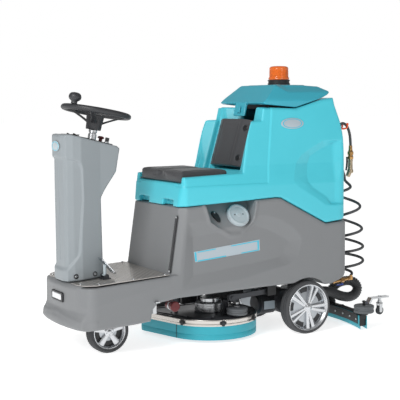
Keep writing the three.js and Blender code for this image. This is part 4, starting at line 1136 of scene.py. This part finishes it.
def steering():
    """Hand wheel with three sloped spokes, its shaft and the spinner knob."""
    axis = on_column(0, 0, 1) - on_column(0, 0, 0)
    p = Parts()
    n, m = 96, 18  # points round the wheel and round its grip
    points = []
    for i in range(n):
        a = 2 * math.pi * i / n
        for k in range(m):
            b = 2 * math.pi * k / m
            grip = 14 - (0.9 if k in (8, 9, 10) and i % 4 < 2 else 0)
            r = HAND_WHEEL_RADIUS + grip * math.cos(b)
            points.append(on_column(r * math.cos(a), r * math.sin(a), grip * math.sin(b)))
    faces = [(i * m + k, ((i + 1) % n) * m + k, ((i + 1) % n) * m + (k + 1) % m, i * m + (k + 1) % m)
             for i in range(n) for k in range(m)]
    p.add(points, faces)
    section = [(-1, 0), (-0.75, 0.9), (0, 1.2), (0.75, 0.9), (1, 0), (0.75, -0.9), (0, -1.2), (-0.75, -0.9)]
    for angle in (90, 210, 330):
        a = math.radians(angle)
        rows = []
        for t in range(9):
            r = 30 + t * 121 / 8
            wide = 19 - 8 * math.sin(math.pi * t / 8)
            drop = -58 + 56 * (t / 8) ** 0.9
            rows.append([(r, wide * u, drop + 4.2 * w) for u, w in section])
        q = [on_column(x * math.cos(a) - y * math.sin(a), x * math.sin(a) + y * math.cos(a), z)
             for row in rows for x, y, z in row]
        p.add(q, [tuple(range(8)), tuple(range(71, 63, -1))]
              + [(t * 8 + k, (t + 1) * 8 + k, (t + 1) * 8 + (k + 1) % 8, t * 8 + (k + 1) % 8)
                 for t in range(8) for k in range(8)])
    p.lathe([(0, -88), (36, -88), (38, -85), (39, -60), (43, -30), (44, -20), (41, -15), (30, -12), (0, -12)],
            on_column(0, 0, 0), axis, 40)
    p.make("hand_wheel", WHEEL, "wheel_and_shaft", "black_plastic", ("steering_wheel",))
    p = Parts()
    p.lathe([(0, 0), (13, 0), (13, 122), (21, 124), (21, 190), (17, 193), (17, 196), (21, 199), (21, 210),
             (19, 211.6), (0, 211.6)], on_column(0, 0, -300), axis, 32)
    p.make("column_shaft", STEEL, "wheel_and_shaft", "bright_steel", ("steering_shaft",))
    a = math.radians(-67)
    spot = on_column(HAND_WHEEL_RADIUS * math.cos(a), HAND_WHEEL_RADIUS * math.sin(a), 14.3)
    p = Parts()
    p.lathe([(0, 0), (16, 0), (15, 4), (14.5, 9), (17, 13), (25, 18), (30, 26), (31, 34), (28, 44),
             (21, 51), (10, 54), (0, 54)], spot, axis, 36)
    p.make("spinner_grip", WHEEL, "knob", "black_plastic", ("spinner_knob",))


# ---------------------------------------------------------------- beacon, hook and gun
def beacon():
    """Ribbed orange dome on a black foot."""
    p = Parts()
    p.lathe([(0, 1308.4), (56, 1308.4), (60, 1310), (60, 1318), (57, 1321), (57, 1330), (60, 1332),
             (60, 1336), (55, 1338), (0, 1338)], (0, BEACON_Y, 0), (0, 0, 1), 64)
    p.make("beacon_foot", BLACK, "lid", "black_plastic", ("beacon_base",))
    p = Parts()
    profile = [(0, 1338.4), (55, 1338.4), (56, 1341), (56, 1348), (53, 1351)]
    profile += [(52.8 - 0.05 * k - (1.3 if k % 2 else 0), 1353 + k * 2.6) for k in range(17)]
    profile += [(51.6, 1399), (49.5, 1404), (45, 1408), (36, 1410.6), (22, 1411.6), (0, 1412)]
    p.lathe(profile, (0, BEACON_Y, 0), (0, 0, 1), 72)
    p.make("beacon_dome", LENS, "lid", "lens_orange", ("beacon_lens",), angle=60)


def hook_and_gun():
    """Orange hook with two prongs, and the spray gun with its trigger."""
    p = Parts()
    p.prism(plaque(138, 202, 1058, 1092, 8), along_y, 652.5, 660, 1.5)
    for s in (-1, 1):
        x = HOSE_X + s * 22
        route = smooth_path([(x, 656, 1074), (x, 674, 1073), (x, 700, 1073), (x, 715, 1079),
                             (x, 718, 1092)], 4)
        points, faces = tube(route, 4.6, 14)
        p.add(points, faces)
        p.lathe([(0, 0), (5.5, 0), (6.5, 3), (6.5, 10), (4, 13), (0, 13.6)], (x, 718, 1090), (0, 0, 1), 20)
        p.bolt((x, 660, 1084), (0, 1, 0), 4, 2.5)
    p.rod((148, 690, 1073), (192, 690, 1073), 3.6, 16)
    p.make("hook_prongs", ORANGE, "tank", "orange_plastic", ("hose_hook",))
    p = Parts()
    p.lathe([(0, 0), (14, 0), (17, 4), (17, 15), (13.5, 22), (12.5, 58), (13, 72), (11, 78), (0, 78)],
            (HOSE_X, 755, 830), (0, 0.03, 1), 32)
    p.rod((HOSE_X, 754, 843), (HOSE_X, 738, 812), 12.5, 24)
    for k in range(4):
        t = 0.3 + 0.15 * k
        a = Vector((HOSE_X, 754, 843)).lerp(Vector((HOSE_X, 738, 812)), t)
        p.lathe([(12, -2), (13.8, -1), (13.8, 1), (12, 2)], a, (0, -16, -31), 24, closed=True)
    p.make("gun_body", GUNMETAL, "tank", "bright_steel", ("spray_gun",))
    p = Parts()
    p.lathe([(10.6, -6), (13, -5), (13, 5), (10.6, 6)], (HOSE_X, 757.6, 922), (0, 0, 1), 28, closed=True)
    p.make("gun_collars", BLACK, "tank", "black_plastic")
    p = Parts()
    p.prism(fillet([(725, 846), (729, 844), (735, 868), (737, 892), (736, 919), (730, 919), (731, 892),
                    (729, 868)], 2), across_x, 164, 176, 1.4)
    p.make("gun_trigger", BLACK, "trigger", "black_plastic", ("spray_trigger",))


# ---------------------------------------------------------------- hoses
LEAD_ROUTE = [(170, 757, 962), (170, 757, 985), (171, 750, 1040), (172, 732, 1082), (173, 708, 1100),
              (174, 684, 1094), (176, 671, 1050), (177, 675, 980), (178, 682, 920), (176, 696, 860),
              (172, 714, 815), (170, 722, 790)]
SUCTION_ROUTE = [(60, 600, 172), (60, 650, 170), (60, 711, 160), (62, 770, 134), (64, 829, 121),
                 (62, 876, 132), (56, 899, 163), (46, 884, 196), (32, 846, 208), (14, 796, 196),
                 (4, 762, 166), (2, 756, 134)]


def spray_hose():
    """Coil that hangs behind the machine and the lead that goes over the hook to the gun."""
    turns = [0, 0.2, 1, 2, 3, 4, 4.85]
    heights = [268, 285, 358, 435, 536, 662, 772]
    middles = [COIL_Y, 766, 773, 771, 762, 748, 738]
    per_turn = 30
    coil = []
    for k in range(4 * per_turn + 26):
        t = k / per_turn
        z = np.interp(t, turns, heights)
        y = np.interp(z, heights, middles)
        r = COIL_RADIUS * min(1, t / 0.35, (4.87 - t) / 0.3)
        a = 2 * math.pi * t + math.radians(90)
        coil.append((HOSE_X + r * math.cos(a), y + r * math.sin(a) * 0.98, z))
    start = [(HOSE_X, COIL_Y, 262)]
    path = smooth_path(start + coil[2::3] + LEAD_ROUTE[::-1], 5.0)
    points, faces = tube(path, HOSE_RADIUS, 14)
    hose = make("spray_hose", points, faces, HOSE, None, (), 60)
    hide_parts("spray_hose_coil", "spray_hose_lead")
    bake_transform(hose)
    p = Parts()
    p.lathe([(7.7, 0), (15, 0), (16, 3), (16, 13), (13, 16), (13, 22), (16.5, 25), (16.5, 38), (12, 45),
             (10, 54), (10, 70), (8, 74), (7.7, 74)], (HOSE_X, 756.8, 906), (0, 0, 1), 32, closed=True)
    ferrule = p.make("gun_ferrule", BRASS, "tank", "brass")


def suction_hose():
    """Corrugated hose: its radius rises and falls along the route."""
    step, pitch = 1.6, 9.5
    route = smooth_path(SUCTION_ROUTE, step)
    wave = np.sin(2 * math.pi * np.arange(len(route)) * step / pitch)
    radius = 25.6 + 1.9 * np.clip(wave * 1.5, -1, 1)
    points, faces = tube(route, radius, 32)
    hose = make("suction_tube", points, faces, HOSE, "chassis", (), 70)
    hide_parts("suction_hose")
    middle = smooth_path(SUCTION_ROUTE, 12)


def services():
    """Brass drain valve, its lever, the red filter and the small fittings behind the wheels."""
    p = Parts()
    p.rod((HOSE_X, 640, 236), (HOSE_X, 770, 252), 8.5, 24)
    p.lathe([(9, 0), (14, 2), (14, 24), (9, 26)], (HOSE_X, 690, 242), (0, 0.99, 0.12), 6)
    p.lathe([(8, 0), (12, 1), (12, 10), (8, 11)], (HOSE_X, 742, 248.6), (0, 0.99, 0.12), 6)
    p.rod((HOSE_X, COIL_Y, 240), (HOSE_X, COIL_Y, 258), 10.5, 24)
    p.lathe([(6.2, 0), (9, 0), (9, 14), (6.2, 15)], (HOSE_X, COIL_Y, 252), (0, 0, 1), 20, closed=True)
    p.make("brass_fitting", BRASS, "chassis", "brass", ("brass_valve",))
    p = Parts()
    p.rod((HOSE_X, 703, 227), (HOSE_X, 703, 221), 7.6, 20)
    p.prism(fillet([(163.5, 668), (176.5, 668), (176, 700), (177, 710), (163, 710), (164, 700)], 3), up_z,
            216.6, 222, 1.2)
    p.make("valve_lever_blue", BLUE, "valve_lever", "blue_plastic", ("valve_handle",))
    p = Parts()
    p.rod((150, FILTER_Y, FILTER_Z), (206, FILTER_Y, FILTER_Z), 21, 36, 2)
    p.lathe([(20, 0), (25, 1), (26, 4), (26, 18), (22, 21), (0, 21.4)], (205, FILTER_Y, FILTER_Z),
            (1, 0, 0), 12)
    p.box(155, 175, -375, -351, 220, 258, 2)
    p.make("filter_bowl", RED, "chassis", "red_plastic", ("water_filter",))
    p = Parts()
    p.lathe([(21.6, 0), (23.4, 1), (23.4, 9), (21.6, 10)], (178, FILTER_Y, FILTER_Z), (1, 0, 0), 32,
            closed=True)
    p.prism([(240, 268), (300, 268), (300, 262), (262, 262), (262, 203), (250, 203), (250, 262), (240, 262)],
            lambda u, v, w: (u - 8, w, v - 6), -505, -482, 1.5)
    p.make("service_clips", STEEL, "chassis", "bright_steel")


def drive():
    """Axle tubes, their casting and the ribbed motor."""
    p = Parts()
    p.rod((-207, REAR_AXLE_Y, REAR_RADIUS), (207, REAR_AXLE_Y, REAR_RADIUS), 25.7, 36, 2)
    p.rod((-263, REAR_AXLE_Y, REAR_RADIUS), (263, REAR_AXLE_Y, REAR_RADIUS), 14.8, 24, 1)
    p.lathe([(0, -55), (60, -55), (67.6, -48), (67.6, 48), (60, 55), (0, 55)],
            (0, REAR_AXLE_Y, REAR_RADIUS), (1, 0, 0), 48)
    ribs = [(0, 0), (42, 0), (42, 10), (56, 12)]
    for k in range(8):
        ribs += [(59.6, 14 + k * 11), (59.6, 20 + k * 11), (56.5, 21 + k * 11), (56.5, 24 + k * 11)]
    p.lathe(ribs + [(59, 104), (59, 110), (0, 110)], (0, 240, 132), (0, 1, 0), 48)
    for s in (-1, 1):
        for k in range(6):
            a = math.radians(60 * k + 30)
            p.bolt((s * 55, REAR_AXLE_Y + 58 * math.cos(a), REAR_RADIUS + 58 * math.sin(a)), (s, 0, 0),
                   4.5, 4)
    p.make("axle_casting", DARK, "chassis", "black_plastic", ("transaxle",))
    p = Parts()
    p.prism(plaque(-34, 34, 106, 150, 3), lambda u, v, w: (59.4 + w, 300 + u, v), 0, 1.6, 0.3)
    p.make("drive_label", LABEL, "chassis", "cap_grey")


# ---------------------------------------------------------------- brush deck
def deck_outline(grow):
    """Outline of the brush deck: a circle with one squared front corner."""
    radius = DECK_RADIUS + grow
    cx, cy = -DECK_RADIUS - grow, -359 - grow
    return arc((cx + 60, cy + 76), 60, 180, 285, 10) + arc((0, DECK_Y), radius, -75, 180, 72)


def round_deck(angle, radius):
    """Frame at an angle round the deck: u along its edge, v up and w outwards."""
    c, s = math.cos(math.radians(angle)), math.sin(math.radians(angle))
    return lambda u, v, w: ((radius + w) * c - u * s, DECK_Y + (radius + w) * s + u * c, v)


def ring_band(p, outer, inner, levels):
    """Closed band that follows the deck: levels are (z, extra) from bottom to top."""
    loops = [[(x, y, z) for x, y in deck_outline(outer + e)] for z, e in levels]
    loops += [[(x, y, z) for x, y in deck_outline(inner)] for z, _ in (levels[-1], levels[0])]
    n = len(loops[0])
    faces = []
    for a in range(len(loops)):
        b = (a + 1) % len(loops)
        faces += [(a * n + i, a * n + (i + 1) % n, b * n + (i + 1) % n, b * n + i) for i in range(n)]
    p.add([q for loop in loops for q in loop], faces)


def ducts():
    """Cable duct under the far rail, in two lengths, with clips."""
    p = Parts()
    for y0, y1 in ((-345, -230), (-150, -56), (8, 236)):
        p.box(-127, -104, y0, y1, 150, 247, 3)
        for k in range(int((y1 - y0) / 38)):
            y = y0 + 16 + 38 * k
            p.box(-105, -101, y, y + 10, 152, 246, 1)
    p.make("cable_ducts", BLACK, "chassis", "black_plastic")


def brush_deck():
    """Deck pressing, skirt, band with its clips, guard roller, motor, brush and lift arms."""
    p = Parts()
    outline = deck_outline(-4)
    p.prism(outline, up_z, 116, 124, 1.6)
    ring = deck_outline(-30)
    n = len(ring)
    inner = deck_outline(-52)
    p.add([(x, y, 123.8) for x, y in ring] + [(x, y, 127) for x, y in deck_outline(-33)]
          + [(x, y, 127) for x, y in deck_outline(-49)] + [(x, y, 123.8) for x, y in inner],
          [(a * n + i, a * n + (i + 1) % n, (a + 1) * n + (i + 1) % n, (a + 1) * n + i) for a in range(3)
           for i in range(n)])
    ring_band(p, -4, -8, [(84, 0), (116.5, 0)])
    for s in (-1, 1):
        x = s * 134
        p.box(x - 6, x + 6, -39, -7, 123, 206)
        p.box(s * 160 - 32, s * 160 + 32, -39, -7, 196, 206)
        x = s * 187
        p.prism(fillet([(-39, 196), (-7, 196), (-7, 232), (-15, 240), (-31, 240), (-39, 232)], 4), across_x,
                x - 5, x + 5, 1)
        p.rod((s * 134 - s * 5, -23, 130), (s * 100, -23, 126), 3, 10)
    p.rod((ROLLER_X, ROLLER_Y, 120), (ROLLER_X, ROLLER_Y, 190), 7.8, 24)
    p.rod((-92, -190, 120), (-92, -190, 225), 9.8, 24)
    for k in range(10):
        a = math.radians(36 * k + 10)
        p.bolt((214 * math.cos(a), DECK_Y + 214 * math.sin(a), 127), (0, 0, 1), 5, 3.5, hexagon=True)
    p.make("deck_pressing", DARK, "deck", "dark_steel", ("deck_plate",))
    p = Parts()
    ring_band(p, -0.8, -3.6, [(16.8, -0.6), (18.5, 0.2), (44, 0.2), (46, -1.0), (48, 0.2),
                              (84, 0.2), (119, 0)])
    p.make("skirt_rubber", SKIRT, "deck", "skirt_teal", ("deck_skirt",))
    p = Parts()
    ring_band(p, 2, -0.4, [(88, -0.8), (90, 0.4), (98, 0.4), (100, -0.4), (109, -0.4), (111, 0.4),
                           (119, 0.4), (121, -0.8)])
    p.make("band_chrome", BAND, "deck", "chrome_silver", ("deck_band",))
    p = Parts()
    for angle in (-64, -14, 36, 86, 136):
        clip = round_deck(angle, DECK_RADIUS + 2.2)
        p.prism(plaque(-17, 17, 97, 113, 4), clip, 0, 4, 1)
        p.prism(plaque(-8, 8, 90, 120, 4), clip, 2, 8, 1.6)
        p.prism(plaque(-12, 12, 101, 109, 3), clip, 6, 12, 1.6)
    seam = round_deck(-73.5, DECK_RADIUS - 0.4)
    p.prism([(-1.6, 20), (1.6, 20), (1.6, 88), (-1.6, 88)], seam, 0, 1.4, 0.4)
    p.make("band_clips", BLACK, "deck", "black_plastic")
    p = Parts()
    p.lathe([(8.4, 132), (44, 132), (50, 134), (54, 138), (54, 146), (51.5, 148), (51.5, 156), (54, 158),
             (54, 166), (50, 170), (44, 172), (8.4, 172)], (ROLLER_X, ROLLER_Y, 0), (0, 0, 1), 64,
            closed=True)
    p.make("guard_wheel", GUARD, "roller", "rubber_black", ("guard_roller",))
    p = Parts()
    p.bolt((ROLLER_X, ROLLER_Y, 189), (0, 0, 1), 8, 6, hexagon=True)
    p.lathe([(8.2, 174), (17, 174), (17, 177), (8.2, 177)], (ROLLER_X, ROLLER_Y, 0), (0, 0, 1), 28,
            closed=True)
    p.make("guard_bolt", STEEL, "deck", "bright_steel")
    p = Parts()
    p.lathe([(0, 124.4), (78, 124.4), (80, 127), (80, 140), (76, 142), (76, 160), (79, 163), (79, 170),
             (74, 174), (54, 175), (52, 178), (52, 194), (48, 199), (20, 200), (0, 200)], (0, DECK_Y, 0),
            (0, 0, 1), 64)
    for k in range(8):
        a = math.radians(45 * k)
        p.bolt((66 * math.cos(a), DECK_Y + 66 * math.sin(a), 174), (0, 0, 1), 4, 3)
    p.make("motor_housing", STEEL, "deck", "bright_steel", ("brush_motor",))
    p = Parts()
    p.lathe([(0, 60), (212, 60), (214, 64), (214, 74), (208, 78), (26, 78), (24, 80), (24, 120), (0, 120)],
            (0, DECK_Y, 0), (0, 0, 1), 72)
    p.make("brush_block", DARK, "brush_body", "black_plastic", ("brush",))
    p = Parts()
    for row, (radius, count) in enumerate(((70, 26), (104, 38), (138, 50), (172, 62), (204, 74))):
        for k in range(count):
            a = 2 * math.pi * (k + 0.5 * (row % 2)) / count
            foot = Vector((radius * math.cos(a), DECK_Y + radius * math.sin(a), 61))
            flare = radius + (radius - 60) * 0.1 + 4
            tip = Vector((flare * math.cos(a + 0.02), DECK_Y + flare * math.sin(a + 0.02), 17.2))
            p.rod(foot, tip, 4.2, 7, 0.6, r2=6.2)
    p.make("brush_tufts", BRISTLE, "brush_body", "brush_teal")
    p = Parts()
    rise = math.atan2(15, 228)
    for s in (-1, 1):
        outline = [(-18, -10), (-10, -18), (0, -18), (60, -13), (185, -13), (236, -18), (244, -10),
                   (244, 10), (236, 18), (185, 13), (60, 13), (0, 18), (-10, 18), (-18, 10)]

        def arm(u, v, w, s=s):
            return (s * 202 + w, -23 + u * math.cos(rise) - v * math.sin(rise),
                    223 + u * math.sin(rise) + v * math.cos(rise))
        p.prism(fillet(outline, 5), arm, -5.8, 5.8, 1.2)
        p.bolt((s * 208, -23, 223), (s, 0, 0), 9, 6, hexagon=True)
    p.rod((-216.5, 205, 238), (216.5, 205, 238), 8.8, 24)
    p.make("arm_links", DARK, "arms", "dark_steel", ("lift_arms",))


# ---------------------------------------------------------------- squeegee
def bend(x, out=0):
    """y of the squeegee's curve at x, with out added to its radius."""
    return SQUEEGEE_Y - CURVE + math.sqrt((CURVE + out) ** 2 - x * x)


def squeegee_band(p, inner, outer, levels, trim=0.0, steps=64):
    """Band on the squeegee's curve; levels are (z, extra on both faces) from bottom to top."""
    far = [arc((0, SQUEEGEE_Y - CURVE), CURVE + outer + e, 90 - SPREAD + trim, 90 + SPREAD - trim, steps)
           for _, e in levels]
    near = [arc((0, SQUEEGEE_Y - CURVE), CURVE + inner - e, 90 + SPREAD - trim, 90 - SPREAD + trim, steps)
            for _, e in levels]
    points = [(x, y, z) for (z, _), a, b in zip(levels, far, near) for x, y in a + b]
    n = 2 * (steps + 1)  # points of one level
    faces = [tuple(range(n - 1, -1, -1)), tuple(range(len(points) - n, len(points)))]
    faces += [(k * n + i, k * n + (i + 1) % n, (k + 1) * n + (i + 1) % n, (k + 1) * n + i)
              for k in range(len(levels) - 1) for i in range(n)]
    p.add(points, faces)


def squeegee():
    """Curved squeegee with blades, hanger, end rollers and castors."""
    p, arms = Parts(), Parts()
    for inner, outer in ((20.2, 22.6), (-22.6, -20.2)):
        squeegee_band(p, inner, outer, [(32, -0.4), (34, 0), (78, 0), (80, -0.4)], trim=1.6)
    squeegee_band(p, -15.5, 15.5, [(62.3, -0.8), (63.5, 0.3), (76, 0.3), (78, -2.5), (86, -2.5), (90, -5)])
    p.box(-55, 55, 575, 748, 82, 90, 1.5)
    p.box(-55, 55, 565, 577, 82, 190, 2)
    p.lathe([(0, 84), (24, 84), (25, 88), (25, 100), (22.5, 102), (22.5, 108), (25, 110), (25, 126),
             (0, 126)], (2, 756, 0), (0, 0, 1), 40)
    for s in (-1, 1):
        y = bend(END_ROLLER_X) + 14
        p.rod((s * END_ROLLER_X, y, 84), (s * END_ROLLER_X, y, 152), 7.8, 24)
        p.rod((s * END_ROLLER_X, y, 81), (s * END_ROLLER_X, y, 91), 23, 28)
        p.bolt((s * END_ROLLER_X, y, 151), (0, 0, 1), 9, 6, hexagon=True)
        x = s * CASTOR_X
        p.box(x - 14, x + 14, 690, 770, 82, 92, 1.5)
        arms.prism([(748, 90), (764, 84), (802, 150), (914.6, 150), (914.6, 158), (794, 158)], across_x,
                   x - 17, x + 17, 1)
        arms.bolt((x, CASTOR_Y, 157), (0, 0, 1), 9, 5, hexagon=True)
        p.prism(plaque(-24, 20, 26, 84, 6),
                lambda u, v, w, s=s: (s * (368 + w), 692 + u * 0.95, v), 0, 4, 1)
        for u in (-60, 60):
            p.bolt((s * 180 + u, bend(s * 180 + u), 88.5), (0, 0, 1), 7, 6, True)
    p.make("squeegee_body", FRAME, "squeegee", "dark_steel", ("squeegee_frame",))
    arms.make("castor_brackets", STEEL, "squeegee", "bright_steel")
    for name, inner, outer, node in (("blade_rear", 16.3, 20, "squeegee_blade_rear"),
                                     ("blade_front", -20, -16.3, "squeegee_blade_front")):
        p = Parts()
        squeegee_band(p, inner, outer, [(10.2, -0.9), (12, -0.1), (34, -0.1), (36, -0.7), (38, -0.1),
                                        (79.6, -0.1)])
        p.make(name, SKIRT, "squeegee", "skirt_teal", (node,))
    p = Parts()
    for k in range(9):
        x = -320 + k * 80
        y = bend(x, 22.4)
        p.bolt((x, y, 68), (x / CURVE, 1, 0), 6, 5)
        y = bend(x, -22.4)
        p.bolt((x, y, 56), (-x / CURVE, -1, 0), 6, 4)
    p.make("blade_bolts", STEEL, "squeegee", "bright_steel")
    for word, s in (("left", 1), ("right", -1)):
        y = bend(END_ROLLER_X) + 14
        p = Parts()
        z = 92.5
        p.lathe([(8.4, z), (46, z), (51, z + 1.5), (54, z + 5), (54, z + 15), (52, z + 17), (52, z + 25),
                 (54, z + 27), (54, z + 37), (51, z + 40.5), (46, z + 42), (30, z + 42), (28, z + 39),
                 (8.4, z + 39)], (s * END_ROLLER_X, y, 0), (0, 0, 1), 56, closed=True)
        p.make("end_wheel_" + word, GUARD, "end_roller_" + word, "rubber_black", ("squeegee_roller_" + word,))
        x = s * CASTOR_X
        p = Parts()
        p.rod((x, CASTOR_Y, 124), (x, CASTOR_Y, 151.6), 8.8, 20)
        p.lathe([(9, 127), (13, 128), (13, 133), (9, 134)], (x, CASTOR_Y, 0), (0, 0, 1), 24, closed=True)
        p.box(x - 14, x + 14, 849, 873, 118, 126, 1.5)
        for side in (-1, 1):
            a = x + side * 12.5
            p.prism(fillet([(851, 76), (856, 71.6), (866, 71.6), (871, 76), (871, 122), (851, 122)], 3),
                    across_x, a - 1.5, a + 1.5, 0.4)
        p.make("castor_yoke_" + word, STEEL, "castor_" + word, "bright_steel", ("castor_fork_" + word,))
        p = Parts()
        p.lathe([(0, -7), (10, -7), (11, -8.8), (20.5, -8.8), (23, -6), (23, 6), (20.5, 8.8), (11, 8.8),
                 (10, 7), (0, 7)], (x, CASTOR_Y, CASTOR_Z), (1, 0, 0), 40)
        p.make("castor_tyre_" + word, RUBBER, "castor_wheel_" + word + "_body", "rubber_black",
               ("castor_wheel_" + word,))


def carried_over():
    """Materials of the CAD nodes that stay visible."""
    looks = {"steering_fork": DARK, "subframe": FRAME, "battery_pack": CASE, "vacuum_motor": BLACK,
             "deck_actuator": DARK, "tank_hinge_pin": STEEL, "direction_switch": BLACK, "lamp_switch": BLACK}
    for name, look in looks.items():
        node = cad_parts[name]
        node.data.materials.clear()
        node.data.materials.append(look)


make_camera()
make_studio()
chassis_shell()
tank_shell()
lid_shell()
cowl_shell()
seat_cushion()
backrest()
wheels()
foot_plate()
pedal()
headlight()
cowl_fittings()
dash()
level_gauge()
scoop_fittings()
badges()
steering()
beacon()
hook_and_gun()
spray_hose()
suction_hose()
services()
drive()
ducts()
brush_deck()
squeegee()
carried_over()
